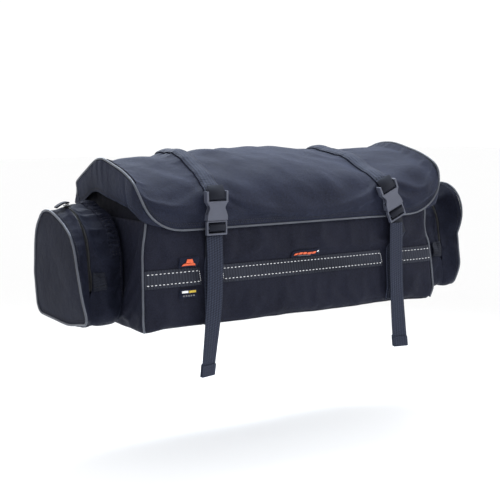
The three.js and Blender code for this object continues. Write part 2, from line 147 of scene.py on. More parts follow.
class Surface:
    # one material; its nodes are all made by node()
    def __init__(self, name):
        self.material = bpy.data.materials.new(name)
        self.material.use_nodes = True
        self.tree = self.material.node_tree
        self.shader = self.tree.nodes["Principled BSDF"]

    def node(self, kind, settings=None, *values, out=0, **named):
        made = self.tree.nodes.new("ShaderNode" + kind)
        for key, value in (settings or {}).items():
            setattr(made, key, value)
        for key, value in [*enumerate(values), *named.items()]:
            if value is not None:
                self.join(made.inputs[key if isinstance(key, int) else key.replace("_", " ")], value)
        return Wire(self, made.outputs[out])

    def join(self, socket, value):
        if isinstance(value, Wire):
            self.tree.links.new(value.socket, socket)
        elif isinstance(value, tuple) and len(value) == 3 and socket.type == "RGBA":
            socket.default_value = (*value, 1)
        else:
            socket.default_value = value

    def place(self, kind="Object"):
        return self.node("TexCoord", None, out=kind)

    def lumps(self, size, detail=2.0, roughness=0.5, where=None):
        return self.node("TexNoise", None, where or self.place(), Scale=1 / size, Detail=detail,
                         Roughness=roughness, out="Fac")

    def blendColours(self, factor, first, second):
        # sockets of a colour Mix: 0 is the factor, 6 and 7 the colours, and 2 the result
        values = [factor, None, None, None, None, None, first, second]
        return self.node("Mix", {"data_type": "RGBA"}, *values, out=2)

    def relief(self, height, distance, strength=1.0, under=None):
        return self.node("Bump", None, Height=height, Distance=distance, Strength=strength, Normal=under)

    def finish(self, **sockets):
        for name, value in sockets.items():
            self.join(self.shader.inputs[name.replace("_", " ")], value)
        return self.material


def weaveHeight(surface, pitch):
    # over-and-under threads, on a UV map laid out in metres
    u, v, _ = splitUv(surface)
    turn = 2 * math.pi / pitch
    across = (u * turn).sum("SINE")
    along = (v * turn).sum("SINE")
    return across * along * 0.5 + 0.5


def splitUv(surface):
    return [surface.node("SeparateXYZ", None, surface.place("UV"), out=i) for i in range(3)]


# colours are linear; sheen is the pale bloom that coated nylon shows at a low angle
clothFinishes = {
    "body_nylon": {"colour": (0.0050, 0.0056, 0.0115), "pale": (0.0108, 0.0120, 0.0225),
                   "sheen": 0.02, "gloss": 1.22},
    # the lid cloth is lighter and bluer than the body cloth, though it is the same fabric: painted light, for the
    # overhead light on the lid's top
    "lid_nylon": {"colour": (0.0062, 0.0076, 0.0160), "pale": (0.0135, 0.0165, 0.0330),
                  "sheen": 0.10, "gloss": 1.26},
    "pocket_nylon": {"colour": (0.0048, 0.0056, 0.0115), "pale": (0.0102, 0.0120, 0.0230),
                     "sheen": 0.02, "gloss": 1.20},
    # the collar cloth is darker than the rest of the same fabric: painted shade, for the shadow under the lid's flap
    "collar_nylon": {"colour": (0.0030, 0.0033, 0.0062), "pale": (0.0060, 0.0064, 0.0115),
                     "sheen": 0.01, "gloss": 1.18},
}


def makeCloth(name):
    look = clothFinishes[name]
    surface = Surface(name)
    threads = weaveHeight(surface, 0.0011)
    patches = surface.lumps(0.05, 3.0)
    fuzz = surface.lumps(0.0016, 2.0)
    tone = surface.blendColours((patches - 0.3) * 1.6, look["colour"], look["pale"])
    bright = tuple(c * 1.8 for c in look["pale"])
    speckle = surface.blendColours((fuzz - 0.35) * 1.9 * (threads * 0.5 + 0.5), tone, bright)
    creases = surface.relief(surface.lumps(0.013, 3.0, 0.6), 0.0030, 0.42)
    low = surface.relief(fuzz, 0.0004, 0.55, creases)
    fine = surface.relief(threads, 0.00022, 0.45, low)
    return surface.finish(Base_Color=speckle, Roughness=0.62 + fuzz * 0.16, Normal=fine,
                          Sheen_Weight=look["sheen"], Sheen_Roughness=0.32,
                          Sheen_Tint=(0.50, 0.64, 1.0), IOR=look["gloss"])


def makeWebbing(name, colour, pale, rib, pick=0.0019):
    # ribs run along the strap, and each is crossed by fine picks of thread
    surface = Surface(name)
    u, v, _ = splitUv(surface)
    ribs = (u * (2 * math.pi / rib)).sum("SINE") * 0.5 + 0.5
    picks = ((v + u * 0.35) * (2 * math.pi / pick)).sum("SINE") * 0.5 + 0.5
    threads = ribs * 0.5 + picks * 0.5
    fuzz = surface.lumps(0.003, 3.0)
    tone = surface.blendColours(threads * 0.7 + fuzz * 0.3, colour, pale)
    bumps = surface.relief(threads, 0.0006, 0.9)
    return surface.finish(Base_Color=tone, Roughness=0.55 + fuzz * 0.2, Normal=bumps,
                          Sheen_Weight=0.03, Sheen_Tint=(0.60, 0.70, 1.0), IOR=1.30,
                          Specular_Tint=(0.75, 0.82, 1.0))


def makePiping():
    surface = Surface("reflective_piping")
    beads = surface.lumps(0.0012, 2.0)
    wear = surface.lumps(0.03, 4.0, 0.6)
    tone = surface.blendColours(wear, (0.040, 0.045, 0.060), (0.105, 0.115, 0.140))
    return surface.finish(Base_Color=tone, Roughness=0.34 + wear * 0.2, Normal=surface.relief(beads, 0.0002, 0.5),
                          Metallic=0.25)


def makePlastic(name, colour, roughness):
    surface = Surface(name)
    fine = surface.lumps(0.0006, 1.0)
    wide = surface.lumps(0.012, 3.0)
    tone = surface.blendColours(wide, colour, tuple(c * 1.35 for c in colour))
    return surface.finish(Base_Color=tone, Roughness=roughness + wide * 0.1,
                          Normal=surface.relief(fine, 0.00012, 0.5), Specular_IOR_Level=0.5)


def makeThread(name, colour, roughness=0.5, paintedGlow=0.0):
    # the last argument is emission: painted light, which makes the thread shine brighter than the lamps make it
    surface = Surface(name)
    twist = surface.lumps(0.0008, 1.0)
    tone = surface.blendColours(twist, tuple(c * 0.78 for c in colour), colour)
    return surface.finish(Base_Color=tone, Roughness=roughness, Normal=surface.relief(twist, 0.0002, 0.6),
                          Emission_Color=colour, Emission_Strength=paintedGlow)


def makeFloor():
    surface = Surface("floor")
    return surface.finish(Base_Color=(0.93, 0.93, 0.93), Roughness=0.9, Specular_IOR_Level=0.1)


cloth = {name: makeCloth(name) for name in clothFinishes}
webbing = makeWebbing("webbing", (0.0030, 0.0036, 0.0075), (0.036, 0.042, 0.068), 0.0041, 0.0034)
bandWebbing = makeWebbing("reflective_band", (0.0008, 0.0009, 0.0018), (0.0300, 0.0320, 0.0440), 0.0044, 0.09)
tabWebbing = makeWebbing("tab_webbing", (0.0010, 0.0011, 0.0020), (0.0120, 0.0130, 0.0200), 0.0036, 0.05)
hingeTape = makeWebbing("hinge_tape", (0.0050, 0.0052, 0.0085), (0.016, 0.017, 0.024), 0.0022)
pipingSkin = makePiping()
plastic = makePlastic("buckle_plastic", (0.060, 0.066, 0.092), 0.36)
zipPlastic = makePlastic("zip", (0.0030, 0.0030, 0.0045), 0.45)
stiffener = makePlastic("stiffener", (0.09, 0.09, 0.10), 0.7)
darkThread = makeThread("dark_thread", (0.0030, 0.0032, 0.0055), 0.6)
# the pale and orange threads are given a little emission: painted light, so these threads shine brighter than the
# lamps make them
paleThread = makeThread("pale_thread", (0.80, 0.81, 0.84), 0.4, 0.12)
orangeThread = makeThread("orange_thread", (0.78, 0.12, 0.035), 0.5, 0.05)
greyThread = makeThread("grey_thread", (0.16, 0.16, 0.18), 0.5)
yellowThread = makeThread("yellow_thread", (0.60, 0.42, 0.04), 0.5)
labelCloth = makeWebbing("label", (0.0020, 0.0028, 0.0100), (0.0080, 0.0100, 0.0260), 0.0012)
floorPaint = makeFloor()
print("materials made")


# making pieces
def gridInto(bm, columns, rows, place, size):
    # a grid whose corners are put where place(u, v) says; size is its real width and length, for the UV map
    uv = bm.loops.layers.uv.verify()
    made = bmesh.ops.create_grid(bm, x_segments=columns, y_segments=rows, size=0.5, calc_uvs=True)
    faces = {f for v in made["verts"] for f in v.link_faces}
    for face in faces:
        for loop in face.loops:
            loop[uv].uv = (loop[uv].uv[0] * size[0], loop[uv].uv[1] * size[1])
    for v in made["verts"]:
        v.co = place(v.co.x + 0.5, v.co.y + 0.5)
    return made["verts"]


def closeEnds(bm):
    rims = [e for e in bm.edges if e.is_boundary]
    bmesh.ops.holes_fill(bm, edges=rims, sides=0)


def makePiece(name, bm, material, body, replaces=(), weld=0.0, outwards=False):
    # body is one body's name, or (first, second, start, end) for a piece across a joint, which is only fixed in place;
    # first, second, start and end are not used
    if weld:
        bmesh.ops.remove_doubles(bm, verts=bm.verts[:], dist=weld)
    if outwards:
        bmesh.ops.recalc_face_normals(bm, faces=bm.faces[:])
    mesh = bpy.data.meshes.new(name)
    bm.to_mesh(mesh)
    bm.free()
    for polygon in mesh.polygons:
        polygon.use_smooth = True
    mesh.materials.append(material)
    piece = bpy.data.objects.new(name, mesh)
    bpy.context.scene.collection.objects.link(piece)
    if isinstance(body, str):
        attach(piece, body)
    else:
        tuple(body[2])
        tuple(body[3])
        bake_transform(piece)
    if replaces:
        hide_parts(*replaces)
    return piece


def joinInto(bm, part):
    # adds one bmesh to another
    mesh = bpy.data.meshes.new("part")
    part.to_mesh(mesh)
    part.free()
    bm.from_mesh(mesh)
    bpy.data.meshes.remove(mesh)


def flipFaces(piece):
    bm = bmesh.new()
    bm.from_mesh(piece.data)
    bmesh.ops.reverse_faces(bm, faces=bm.faces[:])
    bm.to_mesh(piece.data)
    bm.free()


def thicken(piece, thickness, levels=1, offset=-1.0):
    # gives a sheet its thickness, towards its inside, and then rounds it
    wall = piece.modifiers.new("wall", "SOLIDIFY")
    wall.thickness, wall.offset, wall.use_even_offset = thickness, offset, False
    if levels:
        soft = piece.modifiers.new("soft", "SUBSURF")
        soft.levels = soft.render_levels = levels
    return piece


def frames(line, up=None):
    # tangent, side and normal at each point of a line, turning as little as possible
    line = [Vector(p) for p in line]
    made = []
    normal = None
    for i, p in enumerate(line):
        tangent = (line[min(i + 1, len(line) - 1)] - line[max(i - 1, 0)]).normalized()
        if up is not None:
            normal = Vector(up)
        elif normal is None:
            normal = tangent.orthogonal()
        normal = (normal - tangent * normal.dot(tangent)).normalized()
        made.append((p, tangent, tangent.cross(normal), normal))
    return made


def tubeInto(bm, line, radius, sides=10):
    at = frames(line)

    def place(u, v):
        p, _, side, normal = at[round(v * (len(at) - 1))]
        angle = -2 * math.pi * u
        return p + (side * math.cos(angle) + normal * math.sin(angle)) * radius
    length = sum((Vector(b) - Vector(a)).length for a, b in zip(line, line[1:]))
    gridInto(bm, sides, len(at) - 1, place, (2 * math.pi * radius, length))


def makeTube(name, line, radius, material, body, replaces=(), sides=10):
    bm = bmesh.new()
    tubeInto(bm, line, radius, sides)
    bmesh.ops.remove_doubles(bm, verts=bm.verts[:], dist=radius * 0.02)
    closeEnds(bm)
    return makePiece(name, bm, material, body, replaces, outwards=True)


def stitchesInto(bm, line, normals, pitch, size):
    # one small lens of thread at each step; size is its length, width and height
    line = [Vector(p) for p in line]
    length = sum((b - a).length for a, b in zip(line, line[1:]))
    count = max(int(length / pitch), 1)
    even = alongLine(line, count)
    tilt = alongLine(normals, count)
    for i in range(count):
        a, b = Vector(even[i]), Vector(even[i + 1])
        tangent = (b - a).normalized()
        normal = Vector(tilt[i]).normalized()
        side = normal.cross(tangent).normalized()
        normal = tangent.cross(side)
        turn = Matrix((tangent * size[0], side * size[1], normal * size[2])).transposed().to_4x4()
        turn.translation = (a + b) / 2
        bmesh.ops.create_icosphere(bm, subdivisions=1, radius=0.5, matrix=turn)


class Skin:
    # a surface held as columns and rows of points, so that straps, seams and stitches can be laid on it
    def __init__(self, place, columns, rows, wraps=False, flip=False):
        self.columns, self.rows, self.wraps, self.side = columns, rows, wraps, -1 if flip else 1
        self.points = np.array([[tuple(place(c / columns, r / rows)) for r in range(rows + 1)]
                                for c in range(columns + 1)])
        self.settle()

    def settle(self):
        grid = self.points
        if self.wraps:
            ring = np.concatenate([grid[-2:-1], grid, grid[1:2]])
            across = ring[2:] - ring[:-2]
        else:
            across = np.gradient(grid, axis=0)
        normals = np.cross(across, np.gradient(grid, axis=1)) * self.side
        size = np.linalg.norm(normals, axis=2, keepdims=True)
        self.normals = normals / np.maximum(size, 1e-12)

    def even(self, rounds, keepEdges=True):
        # evens the points out, as cloth does over a frame
        for _ in range(rounds):
            p = self.points
            if self.wraps:
                ring = np.concatenate([p[-2:-1], p, p[1:2]])
                q = (ring[2:] + ring[:-2]) / 2
            else:
                q = p.copy()
                q[1:-1] = (p[2:] + p[:-2]) / 2
            q[:, 1:-1] = (q[:, 1:-1] + (p[:, 2:] + p[:, :-2]) / 2) / 2
            if keepEdges:
                q[:, 0], q[:, -1] = p[:, 0], p[:, -1]
                if not self.wraps:
                    q[0], q[-1] = p[0], p[-1]
            self.points = (p + q) / 2
        self.settle()

    def push(self, amount):
        # moves each point out by amount(u, v, point), in metres
        far = np.array([[amount(c / self.columns, r / self.rows, self.points[c, r])
                         for r in range(self.rows + 1)] for c in range(self.columns + 1)])
        if self.wraps:
            far[-1] = far[0]
        self.points = self.points + self.normals * far[:, :, None]
        self.settle()

    def cells(self, u, v):
        u = u % 1.0 if self.wraps and not 0 <= u <= 1 else min(max(u, 0.0), 1.0)
        c, r = u * self.columns, min(max(v, 0.0), 1.0) * self.rows
        i, j = min(int(c), self.columns - 1), min(int(r), self.rows - 1)
        return i, j, c - i, r - j

    def read(self, grid, u, v):
        i, j, s, t = self.cells(u, v)
        return Vector(grid[i, j] * (1 - s) * (1 - t) + grid[i + 1, j] * s * (1 - t)
                      + grid[i, j + 1] * (1 - s) * t + grid[i + 1, j + 1] * s * t)

    def at(self, u, v, offset=0.0):
        p = self.read(self.points, u, v)
        return p + self.read(self.normals, u, v).normalized() * offset if offset else p

    def normal(self, u, v):
        return self.read(self.normals, u, v).normalized()

    def size(self):
        wide = np.linalg.norm(np.diff(self.points[:, self.rows // 2], axis=0), axis=1).sum()
        long = np.linalg.norm(np.diff(self.points[self.columns // 2], axis=0), axis=1).sum()
        return float(wide), float(long)

    def sheetInto(self, bm, u=(0, 1), v=(0, 1), columns=None, rows=None, offset=0.0, shape=None):
        wide, long = self.size()
        columns = columns or self.columns
        rows = rows or self.rows

        def place(a, b):
            uu, vv, lift = mix(u[0], u[1], a), mix(v[0], v[1], b), offset
            if shape:
                uu, vv, lift = shape(uu, vv, a, b, lift)
            return self.at(uu, vv, lift)
        gridInto(bm, columns, rows, place, (wide * abs(u[1] - u[0]), long * abs(v[1] - v[0])))
        if self.side < 0:
            bmesh.ops.reverse_faces(bm, faces=bm.faces[:])

    def drape(self, name, held, settings):
        # runs cloth on these points; held(u, v, point) is 1 where the cloth is sewn down and 0 where it is free
        bm = bmesh.new()
        index = bm.verts.layers.int.new("place")
        rows = self.rows
        cells = []

        def put(a, b):
            cells.append((round(a * self.columns), round(b * rows)))
            return self.points[cells[-1]]
        for v, (c, r) in zip(gridInto(bm, self.columns, rows, put, (1, 1)), cells):
            v[index] = c * (rows + 1) + r
        bmesh.ops.remove_doubles(bm, verts=bm.verts[:], dist=1e-6)
        if self.side < 0:
            bmesh.ops.reverse_faces(bm, faces=bm.faces[:])
        mesh = bpy.data.meshes.new(name)
        bm.to_mesh(mesh)
        bm.free()
        sheet = bpy.data.objects.new(name, mesh)
        bpy.context.scene.collection.objects.link(sheet)
        places = np.zeros(len(mesh.vertices), np.int32)
        mesh.attributes["place"].data.foreach_get("value", places)
        pins = sheet.vertex_groups.new(name="pins")
        for vertex, k in zip(mesh.vertices, places):
            c, r = divmod(int(k), rows + 1)
            weight = held(c / self.columns, r / rows, self.points[c, r])
            if weight > 0:
                pins.add([vertex.index], weight, "REPLACE")
        solver = sheet.modifiers.new("cloth", "CLOTH")
        s = solver.settings
        s.quality, s.mass, s.air_damping = 6, settings["mass"], 2.0
        s.tension_stiffness = s.compression_stiffness = settings["tension"]
        s.shear_stiffness, s.bending_stiffness = settings["shear"], settings["bending"]
        s.shrink_min = -settings["slack"]
        s.vertex_group_mass, s.pin_stiffness = "pins", 1.0
        s.use_pressure, s.uniform_pressure_force = bool(settings["pressure"]), settings["pressure"]
        s.effector_weights.gravity = settings["gravity"]
        solver.collision_settings.use_collision = False
        solver.collision_settings.use_self_collision = False
        solver.point_cache.frame_start, solver.point_cache.frame_end = 1, settings["frames"]
        scene = bpy.context.scene
        for step in range(1, settings["frames"] + 1):
            scene.frame_set(step)
        done = sheet.evaluated_get(bpy.context.evaluated_depsgraph_get()).to_mesh()
        co = np.zeros(len(done.vertices) * 3, np.float32)
        done.vertices.foreach_get("co", co)
        co = co.reshape(-1, 3).astype(float)
        flat = self.points.reshape(-1, 3).copy()
        move = co - flat[places]
        size = np.linalg.norm(move, axis=1, keepdims=True)
        move *= np.minimum(1, settings["cap"] / np.maximum(size, 1e-9))
        flat[places] += move
        self.points = flat.reshape(self.points.shape)
        if self.wraps:
            keep = np.isin(np.arange(rows + 1), places[places <= rows])
            first = np.where(keep[:, None], self.points[0], self.points[-1])
            self.points[0] = self.points[-1] = first
        bpy.data.objects.remove(sheet)
        bpy.data.meshes.remove(mesh)
        scene.frame_set(1)
        self.settle()
        print("draped", name, "moved up to", round(float(size.max()) * 1000, 1), "mm")


# reading shapes from the frame
def partTree(*nodes):
    points, faces = [], []
    for node in nodes:
        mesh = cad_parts[node].data
        faces += [[len(points) + i for i in polygon.vertices] for polygon in mesh.polygons]
        points += [v.co.copy() for v in mesh.vertices]
    return BVHTree.FromPolygons(points, faces)


def outerPoint(tree, centre, direction, reach=0.3):
    # where a ray from outside first meets the part, on this side of the centre
    return tree.ray_cast(centre + direction * reach, -direction, reach)[0]


def solidFrom(node, bevel, segments=2):
    # a fine copy of a CAD part: joined, its flat faces whole, and its sharp edges rounded
    bm = bmesh.new()
    bm.from_mesh(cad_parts[node].data)
    bmesh.ops.remove_doubles(bm, verts=bm.verts[:], dist=1e-5)
    bmesh.ops.dissolve_limit(bm, angle_limit=math.radians(2), verts=bm.verts[:], edges=bm.edges[:])
    sharp = [e for e in bm.edges if len(e.link_faces) == 2 and e.calc_face_angle() > math.radians(28)]
    bmesh.ops.bevel(bm, geom=sharp, offset=bevel, offset_type="OFFSET", segments=segments,
                    affect="EDGES", profile=0.5, material=-1, clamp_overlap=True)
    bmesh.ops.triangulate(bm, faces=bm.faces[:])
    bm.loops.layers.uv.verify()
    return bm


sides = {"left": -1, "right": 1}
lidLow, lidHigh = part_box("lid_cover")
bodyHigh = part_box("body_shell")[1]

# free strap tails, hanging below the ladder bars
tails = {
    "left": {"drift": -0.0101, "late": 1.7, "twist": 14, "wave": 0.0015},
    "right": {"drift": 0.0115, "late": 2.6, "twist": -12, "wave": -0.0010},
}
tailLook = {"fold": 0.020, "length": 0.194, "width": 0.025, "steps": 80}


def tailRoute(side):
    # follows the CAD strip's own middle line, bowed a little
    low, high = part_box(f"strap_tail_{side}")
    drift = tails[side]["drift"]
    width = tailLook["width"]
    topX = (high.x - width / 2 - 0.0008) if drift < 0 else (low.x + width / 2 + 0.0008)
    y = (low.y + high.y) / 2
    points = []
    for i in range(21):
        s = i / 20
        points.append((topX + drift * s ** tails[side]["late"] + tails[side]["wave"] * math.sin(math.pi * s * 1.5),
                       y - 0.002 * math.sin(math.pi * s), mix(high.z - 0.0008, low.z + 0.0008, s)))
    return points


def makeRibbonInto(bm, line, acrosses, width, columns=6, lift=0.0):
    line = [Vector(p) for p in line]
    length = sum((b - a).length for a, b in zip(line, line[1:]))

    def place(u, v):
        i = round(v * (len(line) - 1))
        across = Vector(acrosses[i]).normalized()
        tangent = (line[min(i + 1, len(line) - 1)] - line[max(i - 1, 0)]).normalized()
        return line[i] + across * (u - 0.5) * width + across.cross(tangent) * lift
    gridInto(bm, columns, len(line) - 1, place, (width, length))


def makeTail(side):
    route = tailRoute(side)
    look = tails[side]
    steps = tailLook["steps"]
    line = alongLine(curveThrough(route, steps), steps)
    turn = [math.radians(look["twist"]) * smooth(i / steps, 0.45, 1.0) for i in range(steps + 1)]
    acrosses = [(math.cos(t), math.sin(t), 0) for t in turn]
    bm = bmesh.new()
    makeRibbonInto(bm, line, acrosses, tailLook["width"])
    piece = makePiece(f"strapTail{side.capitalize()}", bm, webbing, f"tail_{side}",
                      [f"strap_tail_{side}"])
    thicken(piece, 0.0015, 1, 0.0)
    folded = bmesh.new()
    first = steps - round(steps * tailLook["fold"] / tailLook["length"])
    for lift, wide, start in ((0.0016, 0.0262, first), (-0.0016, 0.0256, first + 1)):
        makeRibbonInto(folded, line[start:], acrosses[start:], wide, lift=lift)
    hem = makePiece(f"strapTailHem{side.capitalize()}", folded, webbing, f"tail_{side}")
    thicken(hem, 0.0014, 1, 0.0)
    length = float(np.linalg.norm(np.diff(line, axis=0), axis=1).sum())


for side in sides:
    makeTail(side)
print("strap tails made")


# lid
lidLook = {
    "cornerRadius": 0.062, "columns": 132, "rows": 92, "wall": 0.0022,
    "backTurn": {"from": 0.16, "y": 0.088, "lift": 0.35, "inwards": 1.25},
    "strapAt": {"left": -0.148, "right": 0.145}, "groove": 0.0030, "puff": 0.0035, "folds": 0.0052,
    "pleat": {"inset": 0.014, "from": 0.46, "to": 0.12},
}
lidHalf = lidHigh.x
lidTree = partTree("lid_cover")


def lidX(u):
    # columns lie closer together towards the rounded front corners
    radius = lidLook["cornerRadius"]
    straight = lidHalf - radius
    total = straight + radius * 1.35
    far = abs(2 * u - 1) * total
    if far < straight:
        x = far
    else:
        t = (far - straight) / (total - straight)
        x = straight + radius * (0.75 * math.sin(t * math.pi / 2) + 0.25 * t)
    return math.copysign(x, 2 * u - 1)


def lidU(x):
    low, high = 0.0, 1.0
    for _ in range(30):
        middle = (low + high) / 2
        low, high = (middle, high) if lidX(middle) < x else (low, middle)
    return (low + high) / 2


def flapEdgeZ(x):
    radius = lidLook["cornerRadius"]
    past = min(max(abs(x) - (lidHalf - radius), 0), radius)
    return lidLow.z + radius - math.sqrt(radius ** 2 - past ** 2)


lidColumns = {}


def lidColumn(x):
    # the lid's outline at x, from the flap's edge over the top to the hinge
    key = round(x, 6)
    if key not in lidColumns:
        inside = min(max(x, -lidHalf + 0.0005), lidHalf - 0.0005)
        centre = Vector((inside, 0, 0.150))
        line = []
        for i in range(151):
            angle = mix(math.radians(186.3), math.radians(5.7), i / 150)
            direction = Vector((0, math.cos(angle), math.sin(angle)))
            hit = outerPoint(lidTree, centre, direction)
            if hit is None and angle > math.pi / 2:
                hit = centre + direction * (lidLow.y / direction.y)
            if hit is not None:
                line.append(hit)
        edge = flapEdgeZ(x)
        first = next(i for i, p in enumerate(line) if p.z > edge + 1e-5)
        if first:
            a, b = line[first - 1], line[first]
            line = [a.lerp(b, (edge - a.z) / (b.z - a.z)), *line[first:]]
        line = [Vector((x, p.y, p.z)) for p in line]
        lidColumns[key] = alongLine(line, lidLook["rows"])
    return lidColumns[key]


lidSkin = Skin(lambda u, v: lidColumn(lidX(u))[round(v * lidLook["rows"])],
               lidLook["columns"], lidLook["rows"])
lidSkin.even(14)


def squareBack(points):
    # at its ends the lid turns down short of the bag's back, and hangs upright there
    look = lidLook["backTurn"]
    for p in points.reshape(-1, 3):
        near = smooth(abs(p[0]), look["from"], lidHalf)
        over = max(p[1] - look["y"], 0)
        p[1] -= over * look["inwards"] * near
        p[2] += over * look["lift"] * near * smooth(over, 0.0, 0.012) * smooth(p[2], 0.158, 0.170)


squareBack(lidSkin.points)
for row in (0, -1):
    edge = lidSkin.points[:, row]
    for _ in range(8):
        edge[1:-1] = (edge[1:-1] * 2 + edge[2:] + edge[:-2]) / 4
lidSkin.settle()


def lidForm(u, v, p):
    # soft swells between the straps, and a groove under each strap
    x, y, z = p
    edgeFade = smooth(v, 0.0, 0.12) * smooth(v, 1.0, 0.9) * smooth(abs(x), lidHalf, lidHalf - 0.035)
    groove = sum(bump(x, at, 0.013) * smooth(z, 0.185, 0.205) for at in lidLook["strapAt"].values())
    swell = 0.5 + 0.5 * grain((x, y * 1.6, z), 0.11, 3.0)
    small = grain((x * 0.8 + y * 0.9, y * 0.7 - x * 0.35, z * 1.2), 0.035, 8.0)
    pulled = max(0.0, grain((x * 0.5 + z * 0.9, y * 0.4, z * 0.3 - x * 0.5), 0.026, 12.0))
    folds = lidLook["folds"] * (0.5 * small + pulled)
    return edgeFade * (lidLook["puff"] * swell + folds) - groove * lidLook["groove"] * edgeFade


lidSkin.push(lidForm)


def lidHeld(u, v, p):
    edge = max(1 - smooth(v, 0.0, 0.03), 1 - smooth(v, 1.0, 0.97), 1 - smooth(abs(p[0]), lidHalf, lidHalf - 0.008))
    strap = max(0.75 * bump(p[0], at, 0.009) for at in lidLook["strapAt"].values())
    return min(max(edge, strap, 0.0), 1.0) if max(edge, strap) > 0.05 else 0.0


lidSkin.drape("lidDrape", lidHeld, {
    "mass": 0.25, "tension": 12, "shear": 4, "bending": 0.25, "slack": 0.045,
    "pressure": 1.2, "gravity": 0.5, "frames": 22, "cap": 0.007})
lidSkin.even(2)

bm = bmesh.new()
lidSkin.sheetInto(bm)
# the lid cover takes the lid cloth, whose lighter colour is painted light from overhead
lidCover = makePiece("lidCover", bm, cloth["lid_nylon"], "lid", ["lid_cover"])
thicken(lidCover, lidLook["wall"], 1)


def outwardEdge(skin, u, v, inU, inV, far):
    # a point on the skin's edge, moved outwards in the skin's own plane
    edge = skin.at(u, v)
    return edge + (edge - skin.at(inU, inV)).normalized() * far


def lidEdgeLine(far, start=0.985):
    # up the left end, along the flap and up the right end
    line = []
    for i in range(70):
        v = mix(start, 0.012, i / 69)
        line.append(outwardEdge(lidSkin, 0, v, 0.012, v, far))
    for i in range(161):
        u = i / 160
        inside = (mix(0.02, 0, smooth(u, 0.0, 0.12)) + u - mix(0, 0.02, smooth(u, 0.88, 1.0)))
        line.append(outwardEdge(lidSkin, u, 0, inside, 0.02, far))
    for i in range(70):
        v = mix(0.012, start, i / 69)
        line.append(outwardEdge(lidSkin, 1, v, 0.988, v, far))
    return line


pipingRadius = 0.0016
lidRim = alongLine(lidEdgeLine(0.0007), 420)
for _ in range(6):
    lidRim[1:-1] = (lidRim[1:-1] * 2 + lidRim[2:] + lidRim[:-2]) / 4
makeTube("lidPiping", lidRim, pipingRadius, pipingSkin, "lid", ["lid_piping"])


def lidStitchLine(inset):
    # a line of points and normals that keeps inset from the lid's edge
    wide, long = lidSkin.size()
    line, normals = [], []
    du, dv = inset / wide, inset / long
    route = [(du, mix(0.95, dv, i / 60)) for i in range(61)]
    route += [(mix(du, 1 - du, i / 160), dv) for i in range(1, 160)]
    route += [(1 - du, mix(dv, 0.95, i / 60)) for i in range(61)]
    for u, v in route:
        line.append(lidSkin.at(u, v, 0.0002))
        normals.append(lidSkin.normal(u, v))
    return line, normals


stitchSize = (0.0026, 0.0008, 0.0007)
bm = bmesh.new()
for inset in (0.0050, 0.0078):
    line, normals = lidStitchLine(inset)
    stitchesInto(bm, line, normals, 0.0036, stitchSize)
makePiece("lidStitching", bm, darkThread, "lid")


def makePleat():
    # a folded seam on the left of the lid, which follows the piping part of the way to the front corner
    wide = lidSkin.size()[0]
    look = lidLook["pleat"]
    du = look["inset"] / wide
    vs = [mix(look["from"], look["to"], i / 60) for i in range(61)]
    line = [lidSkin.at(du, v, 0.0004) for v in vs]
    normals = [lidSkin.normal(du, v) for v in vs]
    # the pleat is drawn in the darker collar cloth: painted shade along the fold
    makeTube("lidPleat", line, 0.0009, cloth["collar_nylon"], "lid")
    bm = bmesh.new()
    beside = [lidSkin.at(du + 0.0024 / wide, v, 0.0003) for v in vs]
    stitchesInto(bm, beside, normals, 0.0036, stitchSize)
    makePiece("lidPleatStitches", bm, darkThread, "lid")


makePleat()
print("lid made")


# body
bodyLook = {
    "columns": 300, "rows": 36, "cornerRadius": 0.007, "baseRadius": 0.007, "wall": 0.0022,
    "topLean": 0.022, "swell": 0.0030, "baseArch": 0.006,
}
halfX, halfY, bodyTop = bodyHigh.x, bodyHigh.y, bodyHigh.z


def bodyLoop(count):
    # once round the bag, seen from above, from the middle of the back past its left end
    r = bodyLook["cornerRadius"]
    line = [(0, halfY, 0)]
    for cx, cy, first in ((-halfX + r, halfY - r, 90), (-halfX + r, -halfY + r, 180),
                          (halfX - r, -halfY + r, 270), (halfX - r, halfY - r, 360)):
        for i in range(7):
            a = math.radians(first + 90 * i / 6)
            line.append((cx + r * math.cos(a), cy + r * math.sin(a), 0))
    line.append((0, halfY, 0))
    return alongLine(line, count)


bodyRing = bodyLoop(bodyLook["columns"])
bodyGirth = float(np.linalg.norm(np.diff(bodyRing, axis=0), axis=1).sum())


def bodyU(x, y):
    # where on the way round the bag a point of its outline lies, from 0 to 1
    gap = np.abs(bodyRing[:-1, :2] - np.array((x, y))).sum(axis=1)
    i = int(gap.argmin())
    if abs(y + halfY) < 0.002:
        return 0.5 + x / bodyGirth
    return i / bodyLook["columns"]


def leanIn(x, y, z):
    # the bag's right end leans in towards the top, and its left end a little
    right = bodyLook["topLean"] * smooth(x, 0.06, halfX) * smooth(z, 0.02, 0.16)
    left = 0.006 * smooth(-x, 0.20, halfX) * smooth(z, 0.105, 0.155)
    return Vector((x - right + left, y, z))


def archedBase(x, y):
    # the underside lifts a little between the bag's corners
    away = smooth(halfX - abs(x), 0.004, 0.045)
    edge = 1 - smooth(halfY - abs(y), 0.0, 0.02)
    return bodyLook["baseArch"] * away * edge * (0.75 + 0.25 * grain((x, 0, 0), 0.05, 5.0))


def bodyPoint(u, v):
    x, y, _ = bodyRing[round((u % 1.0) * bodyLook["columns"]) if u < 1 else bodyLook["columns"]]
    z = v * bodyTop
    r = bodyLook["baseRadius"]
    if z < r:
        tuck = (r - math.sqrt(max(r ** 2 - (r - z) ** 2, 0))) * 0.8
        x, y = x - math.copysign(min(tuck, abs(x)), x), y - math.copysign(min(tuck, abs(y)), y)
    z += archedBase(x, y) * (1 - smooth(z, 0.0, 0.05))
    return leanIn(x, y, z)


bodySkin = Skin(bodyPoint, bodyLook["columns"], bodyLook["rows"], wraps=True)
bandLow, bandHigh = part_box("band_middle")


